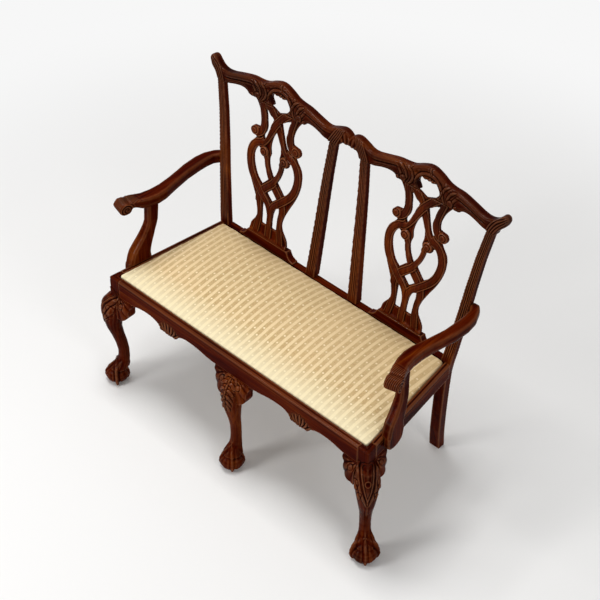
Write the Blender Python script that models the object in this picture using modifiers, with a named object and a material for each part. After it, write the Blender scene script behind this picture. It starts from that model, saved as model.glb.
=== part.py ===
# Two-chair-back settee in carved mahogany with a drop-in seat.
# Metres, +Z up, front towards -Y. The frame empty stands on the floor under the middle of the piece.

from math import atan, cos, hypot, pi, radians, sin

import bmesh
import bpy
from mathutils import Matrix, Vector

# Main sizes
RAIL_TOP = 0.455
FRONT_HALF_WIDTH = 0.544
BACK_HALF_WIDTH = 0.484
SEAT_DEPTH = 0.430
FRONT_FACE_Y = -0.2433
BACK_JOINT_HEIGHT = 0.500
BACK_RAKE = atan(0.1342)
FLAT_ANGLE = radians(0.1)
GAP = 0.0003
OVERRUN = 0.02

# Seat rails
RAIL_DEPTH = 0.054
LIP_WIDTH = 0.0205
LEDGE_WIDTH = 0.012
REBATE_DEPTH = 0.025
OUTER_REED_RADIUS = 0.0062
INNER_REED_RADIUS = 0.0037
REED_QUIRK = 0.0016
BACK_RAIL_THICKNESS = 0.0225
BACK_LEDGE_WIDTH = 0.020

# Front apron, measured down from the rail's underside
APRON_DROP = 0.031

# Legs
POST_WIDTH = 0.040
CENTRE_POST_HALF_WIDTH = 0.029
FOOT_BALL_RADIUS = 0.040
FOOT_BALL_RISE = 0.034
FOOT_BALL_CENTRE = 0.030
CLAW_RADIUS = 0.0085
CORNER_FOOT_REACH = 0.005
CENTRE_FOOT_REACH = 0.014
KNEE_REACH = 0.040
KNEE_BLOCK_WIDTH = 0.056
KNEE_BLOCK_HEIGHT = 0.080
CENTRE_KNEE_BLOCK_HEIGHT = 0.092
KNEE_BLOCK_DEPTH = 0.040
KNEE_BLOCK_PROUD = 0.016
KNEE_BLOCK_LAP = 0.012

# Back posts
STILE_SEAT_X = BACK_HALF_WIDTH
STILE_BASE_WIDTH = 0.036
STILE_TOP_WIDTH = 0.027
STILE_BASE_DEPTH = 0.028
OUTER_STILE_BASE_DEPTH = 0.022
STILE_TOP_DEPTH = 0.020
REED_DEPTH = 0.0022
INNER_STILE_BASE_X = 0.089
INNER_STILE_TOP_X = 0.061
BACK_LEG_FOOT_X = 0.427
BACK_LEG_SPREAD = 0.054
BACK_LEG_WIDTH = 0.039
BACK_LEG_DEPTH = 0.028

# Crest
CREST_HALF_LENGTH = 0.580
EAR_REACH = 0.037
STILE_TOP_X = CREST_HALF_LENGTH - EAR_REACH
CREST_RISE = 0.090
CREST_THICKNESS = 0.024
CREST_ROUNDING = 0.004
CREST_HUMP_SHARE = 0.5026
CREST_HUMP_X = CREST_HALF_LENGTH * CREST_HUMP_SHARE
CREST_BOW = 0.010
EAR_SET_BACK = 0.004
EAR_THINNING_SHARE = 0.36

# Splats and their shoes
SPLAT_HALF_WIDTH = 0.114
SPLAT_THICKNESS = 0.0115
SPLAT_SET_BACK = 0.011
SPLAT_FOOT_X = 0.2773
SPLAT_LEAN = (CREST_HUMP_X - SPLAT_FOOT_X) / BACK_JOINT_HEIGHT
SHOE_HEIGHT = 0.034
SHOE_HALF_LENGTH = 0.118
SHOE_DEPTH = 0.0235
SHOE_PROUD = 0.002

# Arms and their supports
ARM_TOP = 0.700
ARM_THICKNESS = 0.030
ARM_ROLL_RADIUS = 0.0218
ARM_SWAY = 0.048
SUPPORT_OUTSTAND = 0.022
SUPPORT_THICKNESS = 0.035
SUPPORT_DROP = 0.050

# Drop-in seat
SEAT_CLEARANCE = 0.001
COVER_THICKNESS = 0.002
SEAT_FRAME_WIDTH = 0.045
SEAT_FRAME_THICKNESS = 0.0217
WEBBING_THICKNESS = 0.002
WEBBING_STRAP = 0.050
SEAT_CROWN = 0.020
SEAT_SHOULDER = 0.006
SEAT_ROUNDING = 0.100

# Inner braces and screws
BLOCK_LEG = 0.062
BLOCK_HEIGHT = 0.022
BEARER_WIDTH = 0.050
BEARER_THICKNESS = 0.022
SCREW_RADIUS = 0.002
SCREW_HEAD_RADIUS = 0.004
SCREW_HEAD_HEIGHT = 0.0025
SCREW_LENGTH = 0.030
SCREW_SINK = 0.010

SMOOTH = "AUTO"
CORNER = "VECTOR"

# Flat crown of a screw head as a share of its radius, and its straight edge as a share of its height
SCREW_CROWN_SHARES = (0.6, 0.4)
BLOCK_SCREW_SHARE = 0.72
SUPPORT_SCREW_SHARES = (("front", 0.262), ("rear", 0.312))
ARM_SCREW_WAY = (0.8, -0.6, 0.0)

# Shares of the apron: place along half the front width, drop as a share of the apron's drop
APRON_SHARES = (
    (0.055, 0.42, CORNER), (0.185, 0.38, SMOOTH), (0.25, 0.16, SMOOTH), (0.33, 0.0, SMOOTH),
    (0.395, 0.10, SMOOTH), (0.428, 0.38, CORNER), (0.448, 0.82, CORNER), (0.48, 0.90, SMOOTH),
    (0.508, 1.0, CORNER), (0.54, 0.90, SMOOTH), (0.572, 0.82, CORNER), (0.592, 0.42, CORNER),
    (0.63, 0.12, SMOOTH), (0.69, 0.0, SMOOTH), (0.755, 0.13, SMOOTH), (0.81, 0.38, SMOOTH),
    (0.86, 0.45, CORNER),
)

# Shares of the splat: half width, and height above the shoe; right half from foot to crest
SPLAT_EDGE_SHARES = (
    (0.69, 0.0, CORNER), (0.69, 0.034, SMOOTH), (0.66, 0.064, SMOOTH), (0.58, 0.094, SMOOTH),
    (0.49, 0.124, CORNER), (0.45, 0.158, SMOOTH), (0.47, 0.205, SMOOTH), (0.61, 0.294, SMOOTH),
    (0.84, 0.409, SMOOTH), (0.965, 0.500, SMOOTH), (1.0, 0.576, SMOOTH), (0.95, 0.648, SMOOTH),
    (0.80, 0.695, SMOOTH), (0.725, 0.722, CORNER), (0.82, 0.732, SMOOTH), (0.905, 0.765, SMOOTH),
    (0.845, 0.796, SMOOTH), (0.735, 0.803, SMOOTH), (0.605, 0.807, CORNER), (0.575, 0.844, SMOOTH),
    (0.60, 0.887, SMOOTH), (0.69, 0.943, SMOOTH), (0.855, 1.0, CORNER), (0.245, 1.0, CORNER),
    (0.14, 0.989, SMOOTH),
)
SPLAT_TOP_NOTCH_SHARES = (0.0, 0.975, CORNER)
SLOT_SHARES = (
    (0.09, 0.098, CORNER), (0.29, 0.098, CORNER), (0.30, 0.17, SMOOTH), (0.31, 0.247, SMOOTH),
    (0.295, 0.288, CORNER), (0.21, 0.269, SMOOTH), (0.125, 0.230, SMOOTH), (0.088, 0.17, SMOOTH),
)
SIDE_WINDOW_SHARES = (
    (0.41, 0.393, CORNER), (0.56, 0.426, SMOOTH), (0.69, 0.484, SMOOTH), (0.765, 0.554, SMOOTH),
    (0.75, 0.605, SMOOTH), (0.63, 0.663, CORNER), (0.53, 0.646, SMOOTH), (0.49, 0.618, SMOOTH),
    (0.335, 0.601, CORNER), (0.305, 0.557, SMOOTH), (0.245, 0.510, SMOOTH), (0.15, 0.461, CORNER),
)
SLIT_SHARES = (
    (0.504, 0.970, CORNER), (0.447, 0.946, SMOOTH), (0.386, 0.871, SMOOTH), (0.366, 0.828, SMOOTH),
    (0.390, 0.796, SMOOTH), (0.465, 0.753, SMOOTH), (0.43, 0.730, CORNER), (0.36, 0.753, SMOOTH),
    (0.276, 0.803, SMOOTH), (0.13, 0.916, CORNER),
)
CENTRE_WINDOW_SHARES = (
    (0.075, 0.806, SMOOTH), (0.155, 0.755, SMOOTH), (0.187, 0.690, SMOOTH), (0.16, 0.648, SMOOTH),
    (0.197, 0.612, SMOOTH), (0.165, 0.555, SMOOTH), (0.053, 0.499, SMOOTH),
)
CENTRE_WINDOW_END_SHARES = ((0.0, 0.480, CORNER), (0.0, 0.834, CORNER))
DIAMOND_SHARES = ((0.0, 0.299, CORNER), (0.19, 0.343, CORNER), (0.0, 0.392, CORNER), (-0.19, 0.343, CORNER))

# Shares of the crest: half length, and rise above the stiles' tops; right half
CREST_TOP_SHARES = (
    (0.02, 0.594, SMOOTH), (0.052, 0.639, SMOOTH), (0.095, 0.556, SMOOTH), (0.15, 0.428, SMOOTH),
    (0.224, 0.500, SMOOTH), (0.30, 0.612, SMOOTH), (0.353, 0.634, SMOOTH), (0.393, 0.675, SMOOTH),
    (0.44, 0.822, SMOOTH), (0.50, 0.940, SMOOTH), (0.56, 0.838, SMOOTH), (0.609, 0.680, SMOOTH),
    (0.647, 0.634, SMOOTH), (0.707, 0.628, SMOOTH), (0.784, 0.518, SMOOTH), (0.871, 0.389, SMOOTH),
    (0.914, 0.428, SMOOTH), (0.946, 0.567, SMOOTH), (0.972, 0.683, SMOOTH), (0.995, 0.60, SMOOTH),
    (0.987, 0.444, SMOOTH), (0.964, 0.272, SMOOTH), (0.946, 0.111, SMOOTH), (0.942, 0.0, CORNER),
    (0.884, 0.0, CORNER), (0.862, 0.017, SMOOTH), (0.81, 0.115, SMOOTH), (0.753, 0.165, SMOOTH),
    (0.726, 0.112, SMOOTH), (0.712, 0.028, SMOOTH), (0.679, 0.0, CORNER),
)
CREST_ARCH_SHARES = ((0.0483, 0.0, CORNER), (0.0638, 0.10, SMOOTH), (0.0733, 0.222, SMOOTH), (0.062, 0.39, SMOOTH),
                     (0.0453, 0.525, CORNER), (0.026, 0.467, SMOOTH), (0.0112, 0.50, CORNER))
CREST_ARCH_TOP_SHARES = (0.0, 0.467, SMOOTH)
CREST_INNER_SHARES = (
    (0.326, 0.0, CORNER), (0.31, 0.03, SMOOTH), (0.303, 0.105, SMOOTH), (0.276, 0.158, SMOOTH),
    (0.2155, 0.109, SMOOTH), (0.169, 0.017, SMOOTH), (0.144, 0.0, CORNER), (0.074, 0.0, CORNER),
    (0.062, 0.111, SMOOTH), (0.038, 0.217, SMOOTH), (0.017, 0.206, CORNER),
)
CREST_CENTRE_SHARES = ((0.0, 0.244, SMOOTH), (0.0, 0.50, CORNER))

# How far the crest bows back and how far its ear has begun, read straight between shares of half its length
CREST_BOW_SHARES = (
    (0.0, 0.0, 0.0), (0.145, 0.0, 0.0), (0.28, 0.42, 0.0), (0.41, 0.90, 0.0), (0.595, 0.90, 0.0),
    (0.725, 0.42, 0.0), (0.875, 0.0, 0.0), (0.943, 0.0, 0.0), (1.1, 0.0, 2.8),
)

# Shares of the shoe's end: half length and height
SHOE_SHARES = ((1.0, 0.0, CORNER), (1.0, 0.18, CORNER), (0.88, 0.30, SMOOTH), (0.79, 0.60, SMOOTH),
               (0.755, 0.86, CORNER), (0.73, 1.0, CORNER))

# Cabriole leg: share of the height under the rail, reach forward, reach back, half width,
# each a share of the knee's reach, and how far the section has turned from square to round
CORNER_LEG_SHARES = (
    (0.985, 0.10, 1.40, 0.74, 0.15), (0.965, 0.55, 1.38, 0.86, 0.60), (0.91, 0.92, 1.34, 0.95, 0.80),
    (0.845, 1.0, 1.22, 0.97, 0.88), (0.78, 0.93, 1.00, 0.90, 0.92), (0.70, 0.76, 0.74, 0.76, 1.0),
    (0.62, 0.60, 0.65, 0.64, 1.0), (0.53, 0.28, 0.77, 0.52, 1.0), (0.44, 0.03, 0.95, 0.465, 1.0),
    (0.35, -0.12, 1.05, 0.45, 1.0), (0.285, -0.10, 1.03, 0.465, 1.0), (0.235, 0.05, 0.99, 0.53, 1.0),
    (0.19, 0.40, 0.96, 0.68, 1.0), (0.15, 0.72, 0.85, 0.80, 1.0),
)
CENTRE_LEG_SHARES = (
    (0.985, 0.22, 0.98, 0.78, 0.25), (0.965, 0.55, 0.98, 0.82, 0.60), (0.91, 0.92, 0.96, 0.86, 0.80),
    (0.845, 1.05, 0.90, 0.87, 0.88), (0.78, 1.02, 0.80, 0.83, 0.92), (0.70, 0.86, 0.66, 0.74, 1.0),
    (0.62, 0.66, 0.60, 0.62, 1.0), (0.53, 0.42, 0.58, 0.52, 1.0), (0.44, 0.27, 0.62, 0.465, 1.0),
    (0.35, 0.24, 0.63, 0.45, 1.0), (0.285, 0.27, 0.62, 0.465, 1.0), (0.235, 0.40, 0.60, 0.53, 1.0),
    (0.19, 0.72, 0.55, 0.68, 1.0), (0.15, 1.05, 0.48, 0.80, 1.0),
)
# Claw: reach from the ball's axis as a share of its radius, height as a share of the ball's rise, and thickness share
SIDE_CLAW_SHARES = ((0.26, 3.15, 0.75), (0.52, 2.45, 0.85), (0.74, 1.78, 1.0), (0.92, 1.25, 0.80),
                    (0.94, 0.72, 1.0), (0.90, 0.28, 0.70), (0.80, 0.10, 0.45))
FRONT_CLAW_SHARES = ((0.22, 3.15, 0.75), (0.295, 2.45, 0.85), (0.36, 1.78, 1.0), (0.68, 1.25, 0.80),
                     (0.81, 0.72, 1.0), (0.75, 0.28, 0.70), (0.63, 0.10, 0.45))

# Knee block: along the rail, and down from it
KNEE_BLOCK_SHARES = ((0.0, 0.0, CORNER), (1.0, 0.0, CORNER), (1.0, -0.12, CORNER), (0.90, -0.25, SMOOTH),
                     (0.83, -0.43, CORNER), (0.82, -0.61, SMOOTH), (0.70, -0.78, SMOOTH), (0.52, -0.88, CORNER),
                     (0.30, -1.0, SMOOTH), (0.0, -1.0, CORNER))

# Stile: share of its height above the seat, and share of its outward sweep
STILE_SWEEP_SHARES = ((0.0, 0.0), (0.06, 0.07), (0.12, 0.13), (0.4, 0.39), (0.6, 0.54), (0.8, 0.73),
                      (0.9, 0.865), (1.0, 1.0))
# Back leg: share of the rail's height above the floor, shares of the inward and backward spread
BACK_LEG_SHARES = ((0.0, 0.0, 1.0), (0.11, 0.10, 0.80), (0.22, 0.22, 0.61), (0.44, 0.45, 0.315),
                   (0.66, 0.63, 0.13), (0.88, 0.80, 0.01))

# Arm: shares of its sway outside the line from the front corner to the stile, and of that line's depth
ARM_STATION_SHARES = (
    ((0.042, 1.004), (0.475, 1.049)), ((0.230, 0.9677), (0.705, 1.0198)), ((0.238, 0.9200), (0.966, 0.9482)),
    ((0.192, 0.8549), (1.015, 0.8701)), ((0.043, 0.7334), (0.872, 0.7573)), ((-0.133, 0.6618), (0.669, 0.6770)),
    ((-0.366, 0.5683), (0.437, 0.5813)), ((-0.610, 0.4815), (0.278, 0.4880)), ((-0.698, 0.4123), (0.244, 0.4077)),
    ((-0.634, 0.3359), (0.326, 0.3294)), ((-0.416, 0.2584), (0.524, 0.2734)), ((-0.239, 0.2061), (0.699, 0.2324)),
)
ARM_END_SHARES = ((-0.080, 1.018), (-0.045, 1.045))
ARM_SCREW_SHARES = (-0.0625, 1.0273)
ARM_RISE_SHARES = (-0.30, -0.30, -0.30, -0.30, -0.30, -0.28, -0.22, -0.17, -0.12, -0.05, 0.05, 0.02)
ARM_SECTION_SHARES = ((0.10, 0.0), (0.90, 0.0), (1.0, -0.12), (1.0, -0.60), (0.90, -0.90), (0.68, -1.0),
                      (0.32, -1.0), (0.10, -0.90), (0.0, -0.60), (0.0, -0.12))
ARM_ROLL_SHARES = (0.300, 0.1885)

# Arm support: height above the seat rail's top as a share of the clear height to the arm's top,
# front and rear edges as shares of the seat depth, inward lean share, thickness share
SUPPORT_LOW_SHARES = ((-1.0, 0.225, 0.295), (-0.88, 0.190, 0.330), (-0.66, 0.172, 0.348), (-0.3, 0.171, 0.356))
SUPPORT_HIGH_SHARES = (
    (0.10, 0.190, 0.358, 0.0, 1.0), (0.18, 0.209, 0.367, 0.0, 1.0), (0.265, 0.248, 0.383, 0.0, 0.97),
    (0.35, 0.284, 0.399, 0.08, 0.93), (0.43, 0.314, 0.412, 0.15, 0.88), (0.51, 0.333, 0.424, 0.30, 0.84),
    (0.59, 0.344, 0.432, 0.45, 0.81), (0.76, 0.349, 0.441, 0.50, 0.80), (0.955, 0.352, 0.449, 0.52, 0.80),
)
SUPPORT_SEAT_SHARES = (0.176, 0.363)


def clear_scene():
    for item in list(bpy.data.objects):
        bpy.data.objects.remove(item, do_unlink=True)


def new_collection(name):
    group = bpy.data.collections.new(name)
    bpy.context.scene.collection.children.link(group)
    return group


def new_material(name, colour, roughness, metallic=0.0):
    material = bpy.data.materials.new(name)
    material.use_nodes = True
    shader = material.node_tree.nodes["Principled BSDF"]
    shader.inputs["Base Color"].default_value = (*colour, 1.0)
    shader.inputs["Roughness"].default_value = roughness
    shader.inputs["Metallic"].default_value = metallic
    return material


def add_object(name, mesh, group, parent=None, material=None):
    item = bpy.data.objects.new(name, mesh)
    group.objects.link(item)
    item.parent = parent
    if material:
        mesh.materials.clear()
        mesh.materials.append(material)
    return item


def lerp(a, b, share):
    return a + (b - a) * share


def table_value(table, key, column):
    # Straight-line reading of a share table whose first column climbs
    for low, high in zip(table, table[1:]):
        if key <= high[0]:
            return lerp(low[column], high[column], (key - low[0]) / (high[0] - low[0]))
    return table[-1][column]


# Plan of the seat: the front line is y = 0 and the sides run inwards to the back
SIDE_SLOPE = (FRONT_HALF_WIDTH - BACK_HALF_WIDTH) / SEAT_DEPTH
SIDE_STRETCH = hypot(1.0, SIDE_SLOPE)
RAIL_THICKNESS = LIP_WIDTH + LEDGE_WIDTH
UNDERSIDE = RAIL_TOP - RAIL_DEPTH
LEDGE_TOP = RAIL_TOP - REBATE_DEPTH
APRON_END = UNDERSIDE - APRON_DROP * APRON_SHARES[-1][1]
APRON_CENTRE = UNDERSIDE - APRON_DROP * APRON_SHARES[0][1]


def side_x(y, inset=0.0):
    return FRONT_HALF_WIDTH - SIDE_SLOPE * y - inset * SIDE_STRETCH


def back_point(x, depth, height):
    # A point given in the raked plane of the back: across, behind its face, up its slope
    y = SEAT_DEPTH + height * sin(BACK_RAKE) + depth * cos(BACK_RAKE)
    z = RAIL_TOP + height * cos(BACK_RAKE) - depth * sin(BACK_RAKE)
    return Vector((x, y, z))


def loft_mesh(name, rings):
    # One closed skin through rings that all have the same number of points
    shape = bmesh.new()
    loops = [[shape.verts.new(point) for point in ring] for ring in rings]
    count = len(rings[0])
    for near, far in zip(loops, loops[1:]):
        for i in range(count):
            j = (i + 1) % count
            shape.faces.new((near[i], near[j], far[j], far[i]))
    shape.faces.new(loops[0])
    shape.faces.new(loops[-1])
    bmesh.ops.triangulate(shape, faces=shape.faces[:], quad_method="FIXED")
    bmesh.ops.recalc_face_normals(shape, faces=shape.faces)
    mesh = bpy.data.meshes.new(name)
    shape.to_mesh(mesh)
    shape.free()
    return mesh


def evaluated_mesh(item):
    bpy.context.view_layer.update()
    graph = bpy.context.evaluated_depsgraph_get()
    return bpy.data.meshes.new_from_object(item.evaluated_get(graph))


def weld(mesh, distance=GAP * 0.1):
    shape = bmesh.new()
    shape.from_mesh(mesh)
    bmesh.ops.remove_doubles(shape, verts=shape.verts, dist=distance)
    bmesh.ops.recalc_face_normals(shape, faces=shape.faces)
    shape.to_mesh(mesh)
    shape.free()


def reshape(mesh, move):
    for vertex in mesh.vertices:
        vertex.co = move(vertex.co.copy())
    return mesh


def split_across(mesh, places):
    # New edges across the mesh where it is to bend; flat faces are first made whole
    shape = bmesh.new()
    shape.from_mesh(mesh)
    bmesh.ops.dissolve_limit(shape, angle_limit=FLAT_ANGLE, verts=shape.verts[:], edges=shape.edges[:])
    for x in places:
        parts = shape.verts[:] + shape.edges[:] + shape.faces[:]
        bmesh.ops.bisect_plane(shape, geom=parts, dist=GAP, plane_co=(x, 0.0, 0.0), plane_no=(1.0, 0.0, 0.0))
    bmesh.ops.triangulate(shape, faces=shape.faces[:])
    shape.to_mesh(mesh)
    shape.free()


def curve_mesh(curve):
    holder = bpy.data.objects.new(curve.name, curve)
    bpy.context.scene.collection.objects.link(holder)
    mesh = evaluated_mesh(holder)
    bpy.data.objects.remove(holder, do_unlink=True)
    weld(mesh)
    return mesh


def outline_mesh(name, loops, thickness, steps=4, rounding=0.0):
    # A flat outline with its holes, stood upright: x across, z up, front face at y = 0
    curve = bpy.data.curves.new(name, "CURVE")
    curve.dimensions = "2D"
    curve.fill_mode = "BOTH"
    curve.resolution_u = steps
    curve.render_resolution_u = 0
    curve.extrude = thickness / 2 - rounding
    curve.bevel_depth = rounding
    curve.bevel_resolution = 0
    curve.offset = -rounding
    for loop in loops:
        spline = curve.splines.new("BEZIER")
        spline.bezier_points.add(len(loop) - 1)
        spline.use_cyclic_u = True
        for knot, (x, z, kind) in zip(spline.bezier_points, loop):
            knot.co = (x, z, 0.0)
            knot.handle_left_type = kind
            knot.handle_right_type = kind
    mesh = curve_mesh(curve)
    half = thickness / 2
    return reshape(mesh, lambda p: Vector((p.x, half - p.z, p.y)))


def scaled(shares, width, height):
    return [(x * width, z * height, kind) for x, z, kind in shares]


def mirrored(loop):
    return [(-x, z, kind) for x, z, kind in reversed(loop)]


def join(item, tool, operation):
    modifier = item.modifiers.new(operation.lower(), "BOOLEAN")
    modifier.operation = operation
    modifier.object = tool
    tool.hide_render = True
    tool.display_type = "WIRE"


def apply_modifiers(item):
    mesh = evaluated_mesh(item)
    material = item.data.materials[0] if item.data.materials else None
    item.modifiers.clear()
    item.data = mesh
    if material:
        mesh.materials.clear()
        mesh.materials.append(material)
    weld(mesh)
    mesh.name = item.name


def mirror_copy(item, name, group):
    # The same piece for the other side, turned over in the plane x = 0
    mesh = item.data.copy()
    mesh.transform(Matrix.Scale(-1.0, 4, (1.0, 0.0, 0.0)))
    mesh.flip_normals()
    mesh.name = name
    return add_object(name, mesh, group, item.parent, item.data.materials[0])


def cylinder_mesh(name, radius, length, sides, axis):
    # Centred on its own origin, lying along the given axis
    shape = bmesh.new()
    bmesh.ops.create_cone(shape, cap_ends=True, segments=sides, radius1=radius, radius2=radius, depth=length)
    mesh = bpy.data.meshes.new(name)
    shape.to_mesh(mesh)
    shape.free()
    turn = Vector((0.0, 0.0, 1.0)).rotation_difference(Vector(axis)).to_matrix().to_4x4()
    mesh.transform(turn)
    return mesh


def block_mesh(name, low, high):
    shape = bmesh.new()
    bmesh.ops.create_cube(shape, size=1.0)
    mesh = bpy.data.meshes.new(name)
    shape.to_mesh(mesh)
    shape.free()
    size = Vector(high) - Vector(low)
    middle = (Vector(high) + Vector(low)) / 2
    mesh.transform(Matrix.Translation(middle) @ Matrix.Diagonal((*size, 1.0)))
    return mesh


def turned_mesh(name, profile, sides=8):
    # A profile of radius and height turned about the upright axis, from its top down
    shape = bmesh.new()
    knots = [shape.verts.new((radius, 0.0, z)) for radius, z in profile]
    for a, b in zip(knots, knots[1:]):
        shape.edges.new((a, b))
    mesh = bpy.data.meshes.new(name)
    shape.to_mesh(mesh)
    shape.free()
    holder = bpy.data.objects.new(name, mesh)
    bpy.context.scene.collection.objects.link(holder)
    turn = holder.modifiers.new("turn", "SCREW")
    turn.steps = sides
    turn.render_steps = sides
    turn.use_merge_vertices = True
    turn.merge_threshold = GAP * 0.1
    turned = evaluated_mesh(holder)
    bpy.data.objects.remove(holder, do_unlink=True)
    weld(turned)
    return turned


def prism_mesh(name, plan, bottom, top):
    return loft_mesh(name, [[Vector((x, y, z)) for x, y in plan] for z in (bottom, top)])


def rail_profile():
    # Inset from the outer face and height, from the first reed over to the edge of the seat opening
    r, s = OUTER_REED_RADIUS, INNER_REED_RADIUS
    points = [(0.0, -2 * r - REED_QUIRK), (REED_QUIRK, -2 * r)]
    for angle in (200, 165, 130, 90, 50, 10):
        points.append((r + r * cos(radians(angle)), -r + r * sin(radians(angle))))
    points.append((2 * r + REED_QUIRK / 2, -r / 2))
    middle = LIP_WIDTH - s
    for angle in (165, 125, 90):
        points.append((middle + s * cos(radians(angle)), -s + s * sin(radians(angle))))
    return points


def rail_inner_profile():
    # From the top of the inner reed down to the seat opening's wall
    s = INNER_REED_RADIUS
    middle = LIP_WIDTH - s
    return [(middle + s * cos(radians(angle)), -s + s * sin(radians(angle))) for angle in (45, 0)]


def rail_section():
    points = [(0.0, -RAIL_DEPTH)]
    points += rail_profile() + rail_inner_profile()
    points.append((LIP_WIDTH, -REBATE_DEPTH))
    points.append((RAIL_THICKNESS, -REBATE_DEPTH))
    points.append((RAIL_THICKNESS, -RAIL_DEPTH))
    return points


def front_rail(group, cutters, root, wood):
    end = FRONT_HALF_WIDTH - POST_WIDTH - GAP
    section = rail_section()
    deep = RAIL_DEPTH + APRON_DROP
    section = [(inset, -deep if dz == -RAIL_DEPTH else dz) for inset, dz in section]
    rings = [[Vector((x, inset, RAIL_TOP + dz)) for inset, dz in section] for x in (-end, end)]
    rail = add_object("front_rail", loft_mesh("front_rail", rings), group, root, wood)
    half = [(x * FRONT_HALF_WIDTH, UNDERSIDE - drop * APRON_DROP, kind) for x, drop, kind in APRON_SHARES]
    past = FRONT_HALF_WIDTH + OVERRUN
    low = RAIL_TOP - deep - OVERRUN
    half += [(past, half[-1][1], CORNER), (past, low, CORNER)]
    loop = half + mirrored(half)
    thickness = RAIL_THICKNESS + 2 * OVERRUN
    mesh = outline_mesh("apron_cut", [loop], thickness, steps=3)
    mesh.transform(Matrix.Translation((0.0, -OVERRUN, 0.0)))
    cutter = add_object("apron_cut", mesh, cutters, root)
    join(rail, cutter, "DIFFERENCE")
    apply_modifiers(rail)
    return rail


def side_rail(group, root, wood):
    section = rail_section()
    rings = []
    for y in (POST_WIDTH + GAP, SEAT_DEPTH - GAP):
        rings.append([Vector((side_x(y, inset), y, RAIL_TOP + dz)) for inset, dz in section])
    rail = add_object("right_side_rail", loft_mesh("right_side_rail", rings), group, root, wood)
    mirror_copy(rail, "left_side_rail", group)


def stile_plan(width, depth, reeds):
    # Three reeds across the front between two flat arrises, then a plain back
    points = []
    arris = width * 0.08
    reed = (width - 2 * arris) / 3
    points.append((-width / 2, 0.0))
    for i in range(3):
        start = -width / 2 + arris + i * reed
        points.append((start, reeds))
        points.append((start + reed * 0.3, reeds * 0.15))
        points.append((start + reed * 0.7, reeds * 0.15))
    points.append((width / 2 - arris, reeds))
    points.append((width / 2, 0.0))
    points.append((width / 2, depth))
    points.append((-width / 2, depth))
    return points


def stile_width(share):
    return lerp(STILE_BASE_WIDTH, STILE_TOP_WIDTH, share)


def stile_depth(share, base=STILE_BASE_DEPTH):
    return lerp(base, STILE_TOP_DEPTH, share)


def back_leg_edge(share):
    return lerp(BACK_LEG_FOOT_X, STILE_SEAT_X, table_value(BACK_LEG_SHARES + ((1.0, 1.0, 0.0),), share, 1))


def back_leg_inner_x(z):
    share = z / RAIL_TOP
    return back_leg_edge(share) - lerp(BACK_LEG_WIDTH, STILE_BASE_WIDTH, share)


def outer_stile_mesh(name, grow=0.0):
    rings = []
    for share, splay, spread in BACK_LEG_SHARES:
        width = lerp(BACK_LEG_WIDTH, STILE_BASE_WIDTH, share) + 2 * grow
        depth = BACK_LEG_DEPTH + 2 * grow
        x = lerp(BACK_LEG_FOOT_X, STILE_SEAT_X, splay) + grow - width / 2
        y = SEAT_DEPTH + BACK_LEG_SPREAD * spread - grow
        ring = stile_plan(width, depth, 0.0)
        rings.append([Vector((x + px, y + py, RAIL_TOP * share)) for px, py in ring])
    for share, sweep in STILE_SWEEP_SHARES:
        width = stile_width(share) + 2 * grow
        depth = stile_depth(share, OUTER_STILE_BASE_DEPTH) + 2 * grow
        x = lerp(STILE_SEAT_X, STILE_TOP_X, sweep) + grow - width / 2
        height = BACK_JOINT_HEIGHT * share - GAP * share
        reeds = REED_DEPTH if share > 0.1 else 0.0
        ring = stile_plan(width, depth, reeds)
        rings.append([back_point(x + px, py - grow, height) for px, py in ring])
    return loft_mesh(name, rings)


def outer_stile(group, root, wood):
    stile = add_object("right_back_leg_stile", outer_stile_mesh("right_back_leg_stile"), group, root, wood)
    mirror_copy(stile, "left_back_leg_stile", group)


def inner_stile(group, root, wood):
    rings = []
    for share, sweep in STILE_SWEEP_SHARES:
        width = stile_width(share)
        x = lerp(INNER_STILE_BASE_X, INNER_STILE_TOP_X, sweep)
        reeds = REED_DEPTH if share > 0.1 else 0.0
        ring = []
        for px, py in stile_plan(width, stile_depth(share), reeds):
            # The foot stands level on the rail although the stile leans back
            foot = py * sin(BACK_RAKE) / cos(BACK_RAKE) + GAP
            height = foot if share == 0 else BACK_JOINT_HEIGHT * share - GAP * share
            ring.append(back_point(x + px, py, height))
        rings.append(ring)
    stile = add_object("right_inner_stile", loft_mesh("right_inner_stile", rings), group, root, wood)
    mirror_copy(stile, "left_inner_stile", group)


def back_rail(group, root, wood):
    front = SEAT_DEPTH - BACK_LEDGE_WIDTH
    rear = SEAT_DEPTH + BACK_RAIL_THICKNESS
    section = ((front, UNDERSIDE), (rear, UNDERSIDE), (rear, RAIL_TOP), (SEAT_DEPTH, RAIL_TOP),
               (SEAT_DEPTH, LEDGE_TOP), (front, LEDGE_TOP))
    rings = [[Vector((side * (back_leg_inner_x(z) - GAP), y, z)) for y, z in section] for side in (-1, 1)]
    add_object("back_rail", loft_mesh("back_rail", rings), group, root, wood)


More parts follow.
